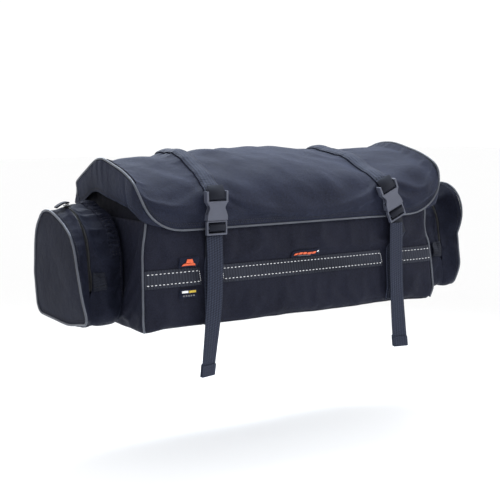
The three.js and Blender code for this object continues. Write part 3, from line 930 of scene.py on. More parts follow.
def frontTrim(z):
    # 1 where the sewn band holds the cloth flat
    return smooth(z, bandLow.z - 0.014, bandLow.z) * smooth(z, bandHigh.z + 0.014, bandHigh.z)


def cornerFade(p):
    # 0 at the four upright seams and 1 away from them
    return smooth(halfX + halfY - abs(p[0]) - abs(p[1]), 0.004, 0.05)


def bodyForm(u, v, p):
    x, y, z = p
    upright = math.sin(math.pi * min(max(z / bodyTop, 0), 1))
    free = 1 - 0.85 * frontTrim(z) * (y < -halfY * 0.9)
    wide = grain((x, y, z * 1.4), 0.085, 1.0)
    small = grain((x * 1.2, y, z), 0.030, 6.0)
    lowFolds = 0.0012 * bump(z, 0.020, 0.016) * grain((x * 1.5 + z * 1.2, y * 1.5, z * 0.8), 0.030, 9.0)
    return cornerFade(p) * free * (upright * bodyLook["swell"] * (0.55 + 0.8 * wide) + 0.0008 * small) + lowFolds * 1.6


bodySkin.push(bodyForm)


def bodyHeld(u, v, p):
    ends = max(1 - smooth(v, 0.0, 0.05), 0.6 * smooth(v, 0.93, 1.0))
    seam = 1 - smooth(halfX + halfY - abs(p[0]) - abs(p[1]), 0.010, 0.018)
    trim = 0.8 * frontTrim(p[2]) if p[1] < -halfY * 0.9 else 0.0
    most = max(ends, seam, trim)
    return min(most, 1.0) if most > 0.05 else 0.0


bodySkin.drape("bodyDrape", bodyHeld, {
    "mass": 0.3, "tension": 14, "shear": 5, "bending": 0.3, "slack": 0.032,
    "pressure": 1.5, "gravity": 0.6, "frames": 20, "cap": 0.006})
bodySkin.even(1)

bm = bmesh.new()
bodySkin.sheetInto(bm)


def underside(u, w):
    edge = bodySkin.at(u, 0)
    spine = Vector((edge.x * 0.8, 0, 0.0004))
    p = edge.lerp(spine, w)
    return Vector((p.x, p.y, mix(edge.z, 0.0004, smooth(w, 0, 0.25)) + 0.0008 * math.sin(math.pi * w)))


base = bmesh.new()
gridInto(base, bodyLook["columns"], 14, underside, (bodyGirth, halfY))
bmesh.ops.remove_doubles(base, verts=base.verts[:], dist=2e-5)
joinInto(bm, base)
shell = makePiece("bodyShell", bm, cloth["body_nylon"], "bag", ["body_shell"], weld=2e-5, outwards=True)
thicken(shell, bodyLook["wall"], 1)


def frontPoint(x, z, offset=0.0):
    return bodySkin.at(0.5 + x / bodyGirth, z / bodyTop, offset)


def frontNormal(x, z):
    return bodySkin.normal(0.5 + x / bodyGirth, z / bodyTop)


def frontSheetInto(bm, outline, columns, rows, offset, swell=0.0):
    # outline is the four corners (x, z): bottom left, bottom right, top right, top left
    (x0, z0), (x1, z1), (x2, z2), (x3, z3) = outline

    def place(a, b):
        x = mix(mix(x0, x1, a), mix(x3, x2, a), b)
        z = mix(mix(z0, z1, a), mix(z3, z2, a), b)
        return frontPoint(x, z, offset + swell * math.sin(math.pi * a) ** 0.5 * math.sin(math.pi * b) ** 0.5)
    gridInto(bm, columns, rows, place, (abs(x1 - x0), abs(z3 - z0)))


# corner pipings follow the upright seams
def cornerPiping(name, x, y, node):
    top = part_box(node)[1].z - 0.0015
    line = []
    u = bodyU(x, y)
    for i in range(41):
        z = mix(0.003, top, i / 40)
        outward = bodySkin.normal(u, z / bodyTop)
        line.append(bodySkin.at(u, z / bodyTop) + outward * 0.0010)
    makeTube(name, curveThrough(line[::4], 60), pipingRadius, pipingSkin, "bag", [node])


cornerInset = bodyLook["cornerRadius"] * (1 - math.sqrt(0.5))
for face, sy in (("front", -1), ("back", 1)):
    for side, sx in sides.items():
        cornerPiping(f"piping{face.capitalize()}{side.capitalize()}", sx * (halfX - cornerInset),
                     sy * (halfY - cornerInset), f"piping_{face}_{side}")
print("body made")


# reflective band, its pale stitches and the labels
bandLook = {"stitchRows": (0.0052, 0.0198), "pitch": 0.0058, "dash": (0.0037, 0.0013, 0.0009), "lift": 0.0004}


def makeBand(name, node):
    low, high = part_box(node)
    slant = 0.004
    leftSlant = slant if low.x > -0.24 else 0
    rightSlant = slant if high.x < 0.24 else 0
    outline = [(low.x + leftSlant, low.z), (high.x, low.z), (high.x - rightSlant, high.z), (low.x, high.z)]
    columns = max(int((high.x - low.x) / 0.003), 8)
    bm = bmesh.new()
    frontSheetInto(bm, outline, columns, 8, bandLook["lift"] + 0.0013)
    band = makePiece(name, bm, bandWebbing, "bag", [node])
    thicken(band, 0.0014, 1)
    dashes = bmesh.new()
    for height in bandLook["stitchRows"]:
        z = low.z + height
        inset = leftSlant * (1 - height / 0.025)
        xs = [mix(low.x + 0.002 + inset, high.x - 0.002 - rightSlant * height / 0.025, i / 80) for i in range(81)]
        stitchesInto(dashes, [frontPoint(x, z, 0.0021) for x in xs], [frontNormal(x, z) for x in xs],
                     bandLook["pitch"], bandLook["dash"])
    makePiece(name + "Stitches", dashes, paleThread, "bag")
    ends = bmesh.new()
    for slanted, x, lean in ((leftSlant, low.x + leftSlant + 0.0015, -slant), (rightSlant, high.x - 0.0015, -slant)):
        if slanted:
            zs = [mix(low.z + bandLook["stitchRows"][0], low.z + bandLook["stitchRows"][1], i / 8) for i in range(9)]
            line = [frontPoint(x + lean * (z - low.z) / 0.025, z, 0.0019) for z in zs]
            stitchesInto(ends, line, [frontNormal(x, z) for z in zs], 0.0026, (0.0025, 0.0007, 0.0006))
    if len(ends.verts):
        makePiece(name + "EndStitches", ends, paleThread, "bag")
    else:
        ends.free()


for name, node in (("bandLeft", "band_left"), ("bandMiddle", "band_middle"), ("bandRight", "band_right")):
    makeBand(name, node)


labelLook = {"lift": 0.0020, "markRise": 0.0016}


def makeLabel(name, node, marks):
    # marks are (material, [outline points in shares of the label's width and height], ...)
    low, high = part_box(node)
    bm = bmesh.new()
    lift = labelLook["lift"]
    frontSheetInto(bm, [(low.x, low.z), (high.x, low.z), (high.x, high.z), (low.x, high.z)], 14, 8, lift, 0.0006)
    label = makePiece(name, bm, labelCloth, "bag", [node])
    thicken(label, 0.0008, 1)
    for number, (material, shapes) in enumerate(marks):
        bm = bmesh.new()
        for x0, z0, x1, z1, tilt in shapes:
            wide, tall = high.x - low.x, high.z - low.z
            xa, xb = low.x + x0 * wide, low.x + x1 * wide
            za, zb = low.z + z0 * tall, low.z + z1 * tall
            part = bmesh.new()
            lean = tilt * wide
            frontSheetInto(part, [(xa, za), (xb, za), (xb + lean, zb), (xa + lean, zb)], 5, 4,
                           lift + labelLook["markRise"])
            joinInto(bm, part)
        mark = makePiece(f"{name}Mark{number + 1}", bm, material, "bag")
        thicken(mark, 0.0004, 0)


makeLabel("labelUpper", "label_upper_left", [
    (orangeThread, [(0.14, 0.26, 0.50, 0.50, 0.08), (0.50, 0.26, 0.86, 0.50, -0.08),
                    (0.30, 0.54, 0.48, 0.82, 0.06), (0.52, 0.54, 0.70, 0.82, -0.06)])])
makeLabel("labelLower", "label_lower_left", [
    (paleThread, [(0.10, 0.58, 0.47, 0.82, 0.0)]),
    (yellowThread, [(0.51, 0.58, 0.92, 0.82, 0.0)]),
    (greyThread, [(0.16 + 0.15 * i, 0.20, 0.25 + 0.15 * i, 0.36, 0.0) for i in range(5)])])
makeLabel("labelMiddle", "label_middle", [
    (orangeThread, [(0.07 + 0.155 * i, 0.40, 0.20 + 0.155 * i, 0.72, 0.02) for i in range(5)]),
    (greyThread, [(0.20, 0.20, 0.66, 0.28, 0.0)]),
    (paleThread, [(0.86, 0.60, 0.93, 0.78, 0.02)])])
print("band and labels made")


# lower straps, sewn up the front and on to the ladder bars
lowerStrap = {
    "width": 0.025, "sewnTo": 0.088, "lift": 0.0019, "endY": -0.1164,
    "endZ": {"left": 0.0985, "right": 0.1065}, "endShift": {"left": 0.0, "right": 0.0115},
    "tilt": {"left": 0, "right": 24},  # degrees, as each side's buckle hangs
}
webWidth = lowerStrap["width"]


def makeLowerStrap(side):
    low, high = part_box(f"strap_lower_{side}")
    x = (low.x + high.x) / 2
    tilt = math.radians(lowerStrap["tilt"][side])

    def sewnAt(z, across=0.0):
        # the strap hangs straight, although the bag's end leans in
        along = x + across + bodyLook["topLean"] * smooth(x, 0.06, halfX) * smooth(z, 0.02, 0.16)
        return frontPoint(along, z, lowerStrap["lift"] + (0.0008 if across else 0.0))
    start = [sewnAt(mix(0.004, lowerStrap["sewnTo"], i / 24)) for i in range(25)]
    endZ = lowerStrap["endZ"][side]
    end = Vector((x + lowerStrap["endShift"][side], lowerStrap["endY"], endZ))
    up = [start[-1].lerp(end, i / 10) for i in range(1, 11)]
    line = [*start, *up]
    acrosses = []
    for p in line:
        t = smooth(p.z, lowerStrap["sewnTo"], endZ) * tilt * 0.9
        acrosses.append((math.cos(t), 0, math.sin(t)))
    bm = bmesh.new()
    makeRibbonInto(bm, line, acrosses, webWidth)
    strap = makePiece(f"strapLower{side.capitalize()}", bm, webbing,
                      ("bag", f"buckle_{side}", (x, -halfY, 0.070), (x, -halfY, 0.100)),
                      [f"strap_lower_{side}"])
    thicken(strap, 0.0015, 1, 0.0)
    bm = bmesh.new()
    for across in (-0.0100, 0.0100):
        rows = [mix(0.006, 0.058, i / 30) for i in range(31)]
        stitchesInto(bm, [sewnAt(z, across) for z in rows],
                     [frontNormal(x + across, z) for z in rows], 0.0034, (0.0026, 0.0007, 0.0006))
    makePiece(f"strapLowerStitches{side.capitalize()}", bm, darkThread, "bag")


for side in sides:
    makeLowerStrap(side)


# straps over the lid
upperStrap = {"lift": 0.0014, "backZ": 0.170}


def makeUpperStrap(side):
    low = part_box(f"strap_upper_{side}")[0]
    x = lidLook["strapAt"][side]
    u0, u1 = lidU(x - webWidth / 2), lidU(x + webWidth / 2)
    middle = (u0 + u1) / 2
    # the strap starts at the eye, a little below the lid's front shoulder
    rows = [i / 200 for i in range(201)]
    first = next(v for v in rows if lidSkin.at(middle, v).z > low.z)
    last = next(v for v in reversed(rows) if lidSkin.at(middle, v).z > upperStrap["backZ"])
    bm = bmesh.new()
    long = lidSkin.size()[1]

    def place(a, b):
        # the strap follows the cloth under it, with a slight rise across its middle
        v = mix(first, last, b)
        rise = upperStrap["lift"] + 0.0006 * math.sin(math.pi * a)
        return lidSkin.at(mix(u0, u1, a), v, rise)
    gridInto(bm, 8, 110, place, (webWidth, long * (last - first)))
    strap = makePiece(f"strapUpper{side.capitalize()}", bm, webbing, "lid", [f"strap_upper_{side}"])
    thicken(strap, 0.0015, 1, 0.0)
    stitches = bmesh.new()
    for share in (0.10, 0.90):
        u = mix(u0, u1, share)
        vs = [mix(first + 0.02, last, i / 90) for i in range(91)]
        stitchesInto(stitches, [lidSkin.at(u, v, upperStrap["lift"] + 0.0010) for v in vs],
                     [lidSkin.normal(u, v) for v in vs], 0.0036, (0.0027, 0.0008, 0.0006))
    for v in (first + 0.022, first + 0.030):
        us = [mix(u0, u1, mix(0.08, 0.92, i / 10)) for i in range(11)]
        stitchesInto(stitches, [lidSkin.at(u, v, upperStrap["lift"] + 0.0013) for u in us],
                     [lidSkin.normal(u, v) for u in us], 0.0030, (0.0024, 0.0008, 0.0006))
    makePiece(f"strapUpperStitches{side.capitalize()}", stitches, darkThread, "lid")


for side in sides:
    makeUpperStrap(side)

# the eyes and ladder loops keep their CAD shape, with rounded edges and the webbing's own finish
for side in sides:
    name = side.capitalize()
    for piece, node, body in ((f"strapEye{name}", f"strap_eye_{side}", "lid"),
                              (f"strapLoop{name}", f"strap_loop_{side}", f"buckle_{side}")):
        bm = solidFrom(node, 0.0003, 1)
        makePiece(piece, bm, tabWebbing, body, [node])
print("straps made")


# side-release buckles
buckleBevel = {"female": 0.0011, "male": 0.0007, "prong": 0.0006}
for side in sides:
    name = side.capitalize()
    for piece, node, body, bevel in (
            (f"buckleFemale{name}", f"buckle_female_{side}", "lid", buckleBevel["female"]),
            (f"buckleMale{name}", f"buckle_male_{side}", f"buckle_{side}", buckleBevel["male"]),
            (f"buckleProngInner{name}", f"buckle_prong_{side}_inner", f"prong_{side}_inner", buckleBevel["prong"]),
            (f"buckleProngOuter{name}", f"buckle_prong_{side}_outer", f"prong_{side}_outer", buckleBevel["prong"])):
        bm = solidFrom(node, bevel, 3)
        part = makePiece(piece, bm, plastic, body, [node])
        part.modifiers.new("shade", "WEIGHTED_NORMAL")
print("buckles made")


# lid skirts, stiffener, hinge tape and collar
skirtLook = {
    "seamY": -0.078, "frontReach": 0.190, "columns": 110, "rows": 22, "endShare": 0.62, "endX": 0.2548,
    "stitchAt": 0.88,
    "hangs": [(0.102, 0.158), (0.088, 0.158), (0.060, 0.168), (0.028, 0.180), (-0.020, 0.174), (-0.078, 0.166)],
    "turns": [(0.2545, -0.078, 0.166), (0.2540, -0.100, 0.158), (0.2500, -0.1145, 0.150),
              (0.225, -0.1165, 0.1425), (0.192, -0.1170, 0.1385)],
}


def makeSkirt(side, sx):
    u = 0 if sx < 0 else 1
    under = -0.0022
    vs = [mix(0.965, 0.0, i / 200) for i in range(201)]
    column = [lidSkin.at(u, v, under) for v in vs]
    split = next(i for i, p in enumerate(column) if p.y < skirtLook["seamY"])
    row = [lidSkin.at(lidU(sx * x), 0, under) for x in
           [mix(lidHalf, skirtLook["frontReach"], i / 60) for i in range(61)]]
    endHang = [(sx * skirtLook["endX"], y, z) for y, z in skirtLook["hangs"]]
    frontHang = [(sx * x, y, z) for x, y, z in skirtLook["turns"]]
    endColumns = round(skirtLook["columns"] * skirtLook["endShare"])
    frontColumns = skirtLook["columns"] - endColumns
    top = np.concatenate([alongLine(column[:split + 1], endColumns),
                          alongLine(column[split:] + row, frontColumns)[1:]])
    foot = np.concatenate([curveThrough(endHang, endColumns), curveThrough(frontHang, frontColumns)[1:]])

    def place(a, b):
        i = round(a * skirtLook["columns"])
        p = Vector(top[i]).lerp(Vector(foot[i]), b)
        away = Vector((sx, -0.15 - 0.8 * smooth(i, endColumns, skirtLook["columns"]), 0)).normalized()
        belly = math.sin(math.pi * b) * 0.0022 + 0.0009 * b * grain((p.y * 1.2, p.z * 0.6, p.x), 0.035, 4.0)
        seam = 0.0012 * bump(i, endColumns, 1.2)
        return p + away * (belly - seam)
    bm = bmesh.new()
    gridInto(bm, skirtLook["columns"], skirtLook["rows"], place, (0.33, 0.05))
    # the skirts take the lid cloth too, with its painted light
    skirt = makePiece(f"lidSkirt{side.capitalize()}", bm, cloth["lid_nylon"], "lid", [f"lid_skirt_{side}"])
    if sx < 0:
        flipFaces(skirt)
    thicken(skirt, 0.0016, 1, 0.0)
    stitches = bmesh.new()
    line = [place(i / 100, skirtLook["stitchAt"]) + Vector((sx * 0.0011, 0, 0)) for i in range(101)]
    stitchesInto(stitches, line, [(sx, -0.2, 0)] * 101, 0.0036, stitchSize)
    seamLine = [place(endColumns / skirtLook["columns"], mix(0.05, 0.97, i / 12)) + Vector((sx * 0.0012, -0.003, 0))
                for i in range(13)]
    stitchesInto(stitches, seamLine, [(sx, -0.2, 0)] * 13, 0.0034, stitchSize)
    makePiece(f"lidSkirtStitches{side.capitalize()}", stitches, darkThread, "lid")


for side, sx in sides.items():
    makeSkirt(side, sx)

boardLow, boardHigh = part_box("lid_board")
bm = bmesh.new()
lidSkin.sheetInto(bm, (lidU(boardLow.x), lidU(boardHigh.x)), (0.22, 0.80), 60, 40, -0.0062)
board = makePiece("lidBoard", bm, stiffener, "lid", ["lid_board"])
thicken(board, 0.002, 0)
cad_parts["base_board"].data.materials.clear()
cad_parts["base_board"].data.materials.append(stiffener)


hingeLook = {"halfWide": 0.250, "neckZ": 0.1555, "foldFrom": 0.152, "foldTo": 0.162, "rise": 0.0012}


def hingePoint(a, b):
    x = mix(-hingeLook["halfWide"], hingeLook["halfWide"], a)
    lean = leanIn(x, halfY, bodyTop)
    foot = bodySkin.at(bodyU(x, halfY), 0.93, hingeLook["rise"])
    head = lidSkin.at(lidU(x), 0.985, hingeLook["rise"])
    neck = Vector((x, max(foot.y, head.y) + 0.0006, hingeLook["neckZ"]))
    waver = 0.0006 * grain((x, b * 0.02, 0), 0.02, 2.0)
    if b < 0.5:
        p = foot.lerp(neck, b * 2)
    else:
        p = neck.lerp(head, b * 2 - 1)
    return Vector((mix(lean.x, x, b), p.y + waver, p.z))


bm = bmesh.new()
gridInto(bm, 120, 8, hingePoint, (0.50, 0.024))
bmesh.ops.reverse_faces(bm, faces=bm.faces[:])
hinge = makePiece("lidHingeTape", bm, hingeTape,
                  ("bag", "lid", (0, halfY, hingeLook["foldFrom"]), (0, halfY, hingeLook["foldTo"])),
                  ["lid_hinge_tape"])
thicken(hinge, 0.0008, 1)

collarLook = {"halfX": 0.2492, "halfY": 0.1082, "footZ": 0.1460, "leanZ": 0.150, "rows": 14}
collarTree = partTree("collar")


def collarPoint(u, b):
    x, y, _ = bodyRing[round(u * bodyLook["columns"]) % bodyLook["columns"]]
    inX, inY = x * (collarLook["halfX"] / halfX), y * (collarLook["halfY"] / halfY)
    hit = collarTree.ray_cast(Vector((inX, inY, 0.3)), Vector((0, 0, -1)))[0]
    top = (hit.z if hit else 0.18) - 0.002
    p = leanIn(inX, inY, collarLook["leanZ"])
    z = mix(collarLook["footZ"], top, b)
    crumple = 0.0030 * b * grain((x * 1.3, y * 1.3, z * 1.6), 0.022, 7.0) + 0.0018 * b * grain((x, y, z), 0.009, 2.0)
    inward = Vector((-p.x / halfX if abs(x) > halfX * 0.97 else 0, -p.y / halfY if abs(y) > halfY * 0.9 else 0, 0))
    return Vector((p.x, p.y, z)) + inward * (0.003 * b + crumple)


bm = bmesh.new()
gridInto(bm, bodyLook["columns"], collarLook["rows"], collarPoint, (bodyGirth, 0.04))
# the collar sleeve takes the darker collar cloth: painted shade under the lid's flap
collarPiece = makePiece("collarSleeve", bm, cloth["collar_nylon"], "bag", ["collar"],
                        weld=2e-5)
thicken(collarPiece, 0.0012, 1, 0.0)
print("skirts, stiffener, hinge tape and collar made")


# end pockets
pocketLook = {
    "columns": 180, "rows": 28, "wall": 0.0020, "zipGap": 0.0020, "puff": 0.0040, "gather": 0.0030,
    "foldFrom": 0.045, "foldTo": 0.065, "rightFull": (0.009, 0.012, 0.36, 0.020), "squareBack": 0.26,
    "centreY": 0.008, "centreZ": 0.078, "archZ": 0.094, "zipRise": 0.0012, "around": 0.52, "endStitchAt": 0.075,
    "pullDroop": {"left": 0.0075, "right": 0.0030},
    "leftLean": [  # height, then how far back the front and the back edges are moved there
        (0.005, -0.026, -0.024), (0.021, -0.023, -0.013), (0.064, -0.013, 0.002), (0.087, -0.008, 0.003),
        (0.132, 0.000, 0.006), (0.148, 0.009, 0.010), (0.158, 0.018, 0.016), (0.164, 0.020, 0.020)],
}


def pocketRing(tree, x):
    # the pocket's outline at x: from the middle of its underside, up its front, over its top and down its back
    centre = Vector((x, pocketLook["centreY"], pocketLook["centreZ"]))
    line = []
    for i in range(241):
        angle = 2 * math.pi * i / 240
        hit = outerPoint(tree, centre, Vector((0, -math.sin(angle), -math.cos(angle))), 0.16)
        if hit is not None:
            line.append(hit)
    return alongLine(line, pocketLook["columns"])


class Pocket:
    def __init__(self, side, sx):
        self.side, self.sx, self.name = side, sx, side.capitalize()
        low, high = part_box(f"pocket_{side}_cup")
        self.root, self.end = (low.x, high.x) if sx > 0 else (high.x, low.x)
        sliderLow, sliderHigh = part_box(f"pocket_{side}_slider")
        self.zip = (sliderLow.x + sliderHigh.x) / 2
        self.zipV = (self.zip - self.root) / (self.end - self.root)
        self.gapV = pocketLook["zipGap"] / abs(self.end - self.root)
        tree = partTree(f"pocket_{side}_cup", f"pocket_{side}_flap")
        near = pocketRing(tree, self.root + sx * 0.003)
        far = pocketRing(tree, self.end - sx * 0.004)

        def place(u, v):
            i = round(u * pocketLook["columns"]) % pocketLook["columns"]
            p = Vector(near[i]).lerp(Vector(far[i]), v)
            return self.shaped(Vector((mix(self.root, self.end, v), p.y, p.z)), v)
        self.skin = Skin(place, pocketLook["columns"], pocketLook["rows"], wraps=True, flip=sx > 0)
        self.skin.even(4)
        self.skin.push(self.form)
        self.skin.drape(f"pocketDrape{self.name}", self.held, {
            "mass": 0.2, "tension": 12, "shear": 4, "bending": 0.3, "slack": 0.035,
            "pressure": 1.6, "gravity": 0.6, "frames": 20, "cap": 0.006})
        self.skin.even(1)

    def squared(self, p, towards, share, fade):
        # fills out the arch's shoulder, at its back where towards is 1 and at its front where it is -1
        reach = Vector((0, p.y - pocketLook["centreY"], p.z - pocketLook["archZ"]))
        if reach.y * towards <= 0 or reach.z <= 0:
            return p
        turn = math.atan2(towards * reach.y, reach.z)
        return p + reach * share * max(0.0, math.sin(2 * turn)) * fade

    def shaped(self, p, v):
        # past the zip the left end leans back at its top, and the right end is fuller at its front
        past = max(smooth(v, self.zipV + 0.03, 1.0), 0.55 * bump(v, 0.42, 0.20))
        nearRoot = 1 - smooth(v, 0.35, 0.64)
        # by the bag the pocket's back is as high as its top
        p = self.squared(p, 1, pocketLook["squareBack"], nearRoot)
        if self.sx < 0:
            heights, front, back = zip(*pocketLook["leftLean"])
            move = mix(float(np.interp(p.z, heights, front)), float(np.interp(p.z, heights, back)),
                       smooth(p.y, -0.06, 0.08))
            lift = (0.011 * (1 - smooth(p.z, 0.01, 0.06)) * smooth(-p.y, 0.0, 0.08)
                    - 0.005 * smooth(p.z, 0.12, 0.16))
            return p + Vector((0, move, lift)) * past
        outward, forward, square, tuck = pocketLook["rightFull"]
        end = smooth(v, self.zipV + 0.03, 1.0)
        p = self.squared(p, -1, square, end)
        front = 1 - smooth(p.y, 0.0, 0.07)
        low = (1 - smooth(p.z, 0.0, 0.05)) * smooth(-p.y, -0.01, 0.05)
        return p + Vector((outward * smooth(v, self.zipV, 1.0), -forward * front * past + tuck * low * end, 0))

    def form(self, u, v, p):
        x, y, z = p
        free = smooth(v, 0.0, 0.10) * smooth(v, 1.0, 0.93) * (1 - 0.9 * bump(v, self.zipV, 0.06))
        top = smooth(z, 0.095, 0.125)
        along = u * pocketLook["around"]
        ripple = math.sin(along * 2 * math.pi / 0.0052 + 3 * grain((y, z, x), 0.02))
        puckers = 0.0009 * top * (1 - smooth(v, 0.22, 0.50)) * ripple
        radiating = 0.0040 * (1 - smooth(v, 0.25, 0.72)) * grain((along / 0.42, x * 0.22, 0.0), 0.024, 11.0)
        loose = 0.0036 * grain((along * 1.1, x * 0.9, z * 0.6), 0.034, 14.0 + self.sx)
        low = 0.5 * smooth(z, 0.05, 0.01)
        waist = -pocketLook["gather"] * top * bump(v, 0.06, 0.12)
        puff = pocketLook["puff"] * math.sin(math.pi * min(v / self.zipV, 1))
        rise = pocketLook["zipRise"] * bump(v, self.zipV, 0.2)
        return free * (puff + radiating * (1 - low) + loose) + puckers + waist + rise

    def held(self, u, v, p):
        edges = max(1 - smooth(v, 0.0, 0.04), smooth(v, 0.965, 1.0))
        zipped = bump(v, self.zipV, 0.05)
        most = max(edges, zipped)
        return min(most, 1.0) if most > 0.05 else 0.0

    def bend(self):
        x = self.end + self.sx * 0.003
        return ("bag", f"flap_{self.side}", (x, 0.008, pocketLook["foldFrom"]), (x, 0.008, pocketLook["foldTo"]))

    def uAt(self, z, v, front=True):
        # where the front or back leg reaches the height z
        us = [mix(0.06, 0.5, i / 200) if front else mix(0.94, 0.5, i / 200) for i in range(201)]
        return next(u for u in us if self.skin.at(u, v).z > z)

    def makeGusset(self):
        def shape(u, v, a, b, lift):
            z = self.skin.at(u, self.zipV).z
            unzipped = smooth(z, 0.048, 0.062)
            endV = mix(self.zipV + self.gapV + 0.012, self.zipV - self.gapV, unzipped)
            return u, endV * b, lift + 0.0007 * unzipped * bump(b, 0.975, 0.02)
        bm = bmesh.new()
        self.skin.sheetInto(bm, rows=22, shape=shape)
        gusset = makePiece(f"pocketGusset{self.name}", bm, cloth["pocket_nylon"], "bag",
                           [f"pocket_{self.side}_cup"], weld=2e-5)
        thicken(gusset, pocketLook["wall"], 1)

    def endPoint(self, u, w):
        # the end panel, from its piped edge to its middle
        edge = self.skin.at(u, 1)
        middle = Vector((self.end + self.sx * 0.0015, 0.012, 0.080))
        p = edge.lerp(middle, w)
        dish = self.sx * (0.0016 * math.sin(math.pi * min(w * 1.2, 1)) + 0.0008 * smooth(w, 0, 0.2)
                          * grain((p.y, p.z, 0), 0.045, 21.0 + self.sx))
        return Vector((p.x + dish, p.y, p.z))

    def makeEnd(self):
        bm = bmesh.new()
        self.skin.sheetInto(bm, v=(self.zipV + self.gapV, 1.0), rows=8)
        outer = set(bm.faces)
        columns = pocketLook["columns"]
        gridInto(bm, columns, 20, self.endPoint, (0.5, 0.085))
        if self.sx > 0:
            bmesh.ops.reverse_faces(bm, faces=[f for f in bm.faces if f not in outer])
        piece = makePiece(f"pocketEnd{self.name}", bm, cloth["pocket_nylon"], self.bend(),
                          [f"pocket_{self.side}_flap"], weld=2e-5)
        thicken(piece, pocketLook["wall"], 1)
        rim = []
        for i in range(261):
            u = i / 260
            p = self.skin.at(u, 1)
            outward = self.skin.normal(u, 1)
            rim.append(p - outward * 0.0004 + Vector((self.sx * 0.0006, 0, 0)))
        makeTube(f"pocketPiping{self.name}", alongLine(rim, 260), pipingRadius, pipingSkin, self.bend(),
                 [f"pocket_{self.side}_piping_arch", f"pocket_{self.side}_piping_base"])
        stitches = bmesh.new()
        line = [self.endPoint(i / 240, pocketLook["endStitchAt"]) + Vector((self.sx * 0.0002, 0, 0))
                for i in range(241)]
        stitchesInto(stitches, line, [(self.sx, 0, 0)] * 241, 0.0036, stitchSize)
        line = [self.skin.at(i / 240, 0.955, 0.0002) for i in range(241)]
        stitchesInto(stitches, line, [self.skin.normal(i / 240, 0.955) for i in range(241)], 0.0036, stitchSize)
        makePiece(f"pocketEndStitches{self.name}", stitches, darkThread, self.bend())

    def makeGather(self):
        first, last = self.uAt(0.100, 0.1), self.uAt(0.100, 0.1, False)
        bm = bmesh.new()

        def shape(u, v, a, b, lift):
            fade = math.sin(math.pi * a) ** 0.3 * math.sin(math.pi * b) ** 0.4 if 0 < a < 1 and 0 < b < 1 else 0
            along = u * pocketLook["around"]
            pucker = math.sin(along * 2 * math.pi / 0.0072 + 1.5 * math.sin(b * 5 + along * 40))
            return u, v, lift + fade * (0.0018 + 0.0018 * pucker)
        self.skin.sheetInto(bm, (first, last), (0.012, 0.26), 260, 12, 0.0010, shape)
        gather = makePiece(f"pocketGather{self.name}", bm, cloth["pocket_nylon"], "bag",
                           [f"pocket_{self.side}_gather"])
        thicken(gather, 0.0012, 1)
        stitches = bmesh.new()
        for v in (0.07, 0.14, 0.21):
            us = [mix(first, last, i / 160) for i in range(161)]
            stitchesInto(stitches, [self.skin.at(u, v, 0.0022) for u in us], [self.skin.normal(u, v) for u in us],
                         0.0040, stitchSize)
        makePiece(f"pocketGatherStitches{self.name}", stitches, darkThread, "bag")

    def makeZip(self):
        first, last = self.uAt(0.057, self.zipV), self.uAt(0.057, self.zipV, False)
        us = [mix(first, last, i / 200) for i in range(201)]
        for half, sign, body in (("Inner", -1, "bag"), ("Outer", 1, self.bend())):
            bm = bmesh.new()
            tapeV = (self.zipV + sign * self.gapV * 1.6, self.zipV + sign * self.gapV * 0.10)
            self.skin.sheetInto(bm, (first, last), tapeV, 200, 3, -0.0010)
            if sign > 0:
                bmesh.ops.reverse_faces(bm, faces=bm.faces[:])
            tape = makePiece(f"pocketZipTape{half}{self.name}", bm, zipPlastic, body,
                             [f"pocket_{self.side}_zip_{half.lower()}"])
            thicken(tape, 0.0008, 0)
            teeth = bmesh.new()
            v = self.zipV + sign * self.gapV * 0.28
            line = [self.skin.at(u, v, -0.0002) for u in us]
            stitchesInto(teeth, line, [self.skin.normal(u, v) for u in us], 0.0015, (0.0009, 0.0019, 0.0013))
            makePiece(f"pocketZipTeeth{half}{self.name}", teeth, zipPlastic, body)

    def makeSlider(self):
        low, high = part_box(f"pocket_{self.side}_slider")
        size, middle = high - low, (low + high) / 2
        bm = bmesh.new()
        bmesh.ops.create_cube(bm, size=1.0)
        for v in bm.verts:
            taper = 0.78 if v.co.y > 0 else 1.0
            v.co = Vector((v.co.x * size.x * taper, v.co.y * size.y, (v.co.z * 0.55 - 0.2) * size.z)) + middle
        bmesh.ops.bevel(bm, geom=bm.edges[:], offset=0.0008, offset_type="OFFSET", segments=3, affect="EDGES",
                        profile=0.5, material=-1)
        bridge = [(middle.x, middle.y - 0.0045, middle.z - 0.0003), (middle.x, middle.y - 0.0035, middle.z + 0.0016),
                  (middle.x, middle.y + 0.0035, middle.z + 0.0016), (middle.x, middle.y + 0.0045, middle.z - 0.0003)]
        line = curveThrough(bridge, 14)
        arch = bmesh.new()
        tubeInto(arch, line, 0.0007, 8)
        bmesh.ops.remove_doubles(arch, verts=arch.verts[:], dist=1e-5)
        closeEnds(arch)
        joinInto(bm, arch)
        bm.loops.layers.uv.verify()
        makePiece(f"pocketSlider{self.name}", bm, zipPlastic, f"slider_{self.side}",
                  [f"pocket_{self.side}_slider"], outwards=True)

        low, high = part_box(f"pocket_{self.side}_pull")
        middle = (low + high) / 2
        reach = high.x - low.x
        route = []
        for t in [i / 24 for i in range(25)]:
            x = low.x + reach * t
            out = abs(x - self.zip) / reach
            droop = pocketLook["pullDroop"][self.side] * out ** 1.5
            route.append((x, middle.y, middle.z + 0.0010 * math.sin(math.pi * t) - droop))
        bm = bmesh.new()
        makeRibbonInto(bm, route, [(0, 1, 0)] * 25, 0.0095, 6)
        pull = makePiece(f"pocketPull{self.name}", bm, tabWebbing, f"pull_{self.side}",
                         [f"pocket_{self.side}_pull"])
        thicken(pull, 0.0024, 2, 0.0)

    def makeTab(self):
        low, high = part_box(f"pocket_{self.side}_tab")
        span = self.end - self.root
        v0, v1 = sorted(((low.x - self.root) / span, (high.x - self.root) / span))
        u0, u1 = self.uAt(low.z, 0.6), self.uAt(high.z, 0.6)

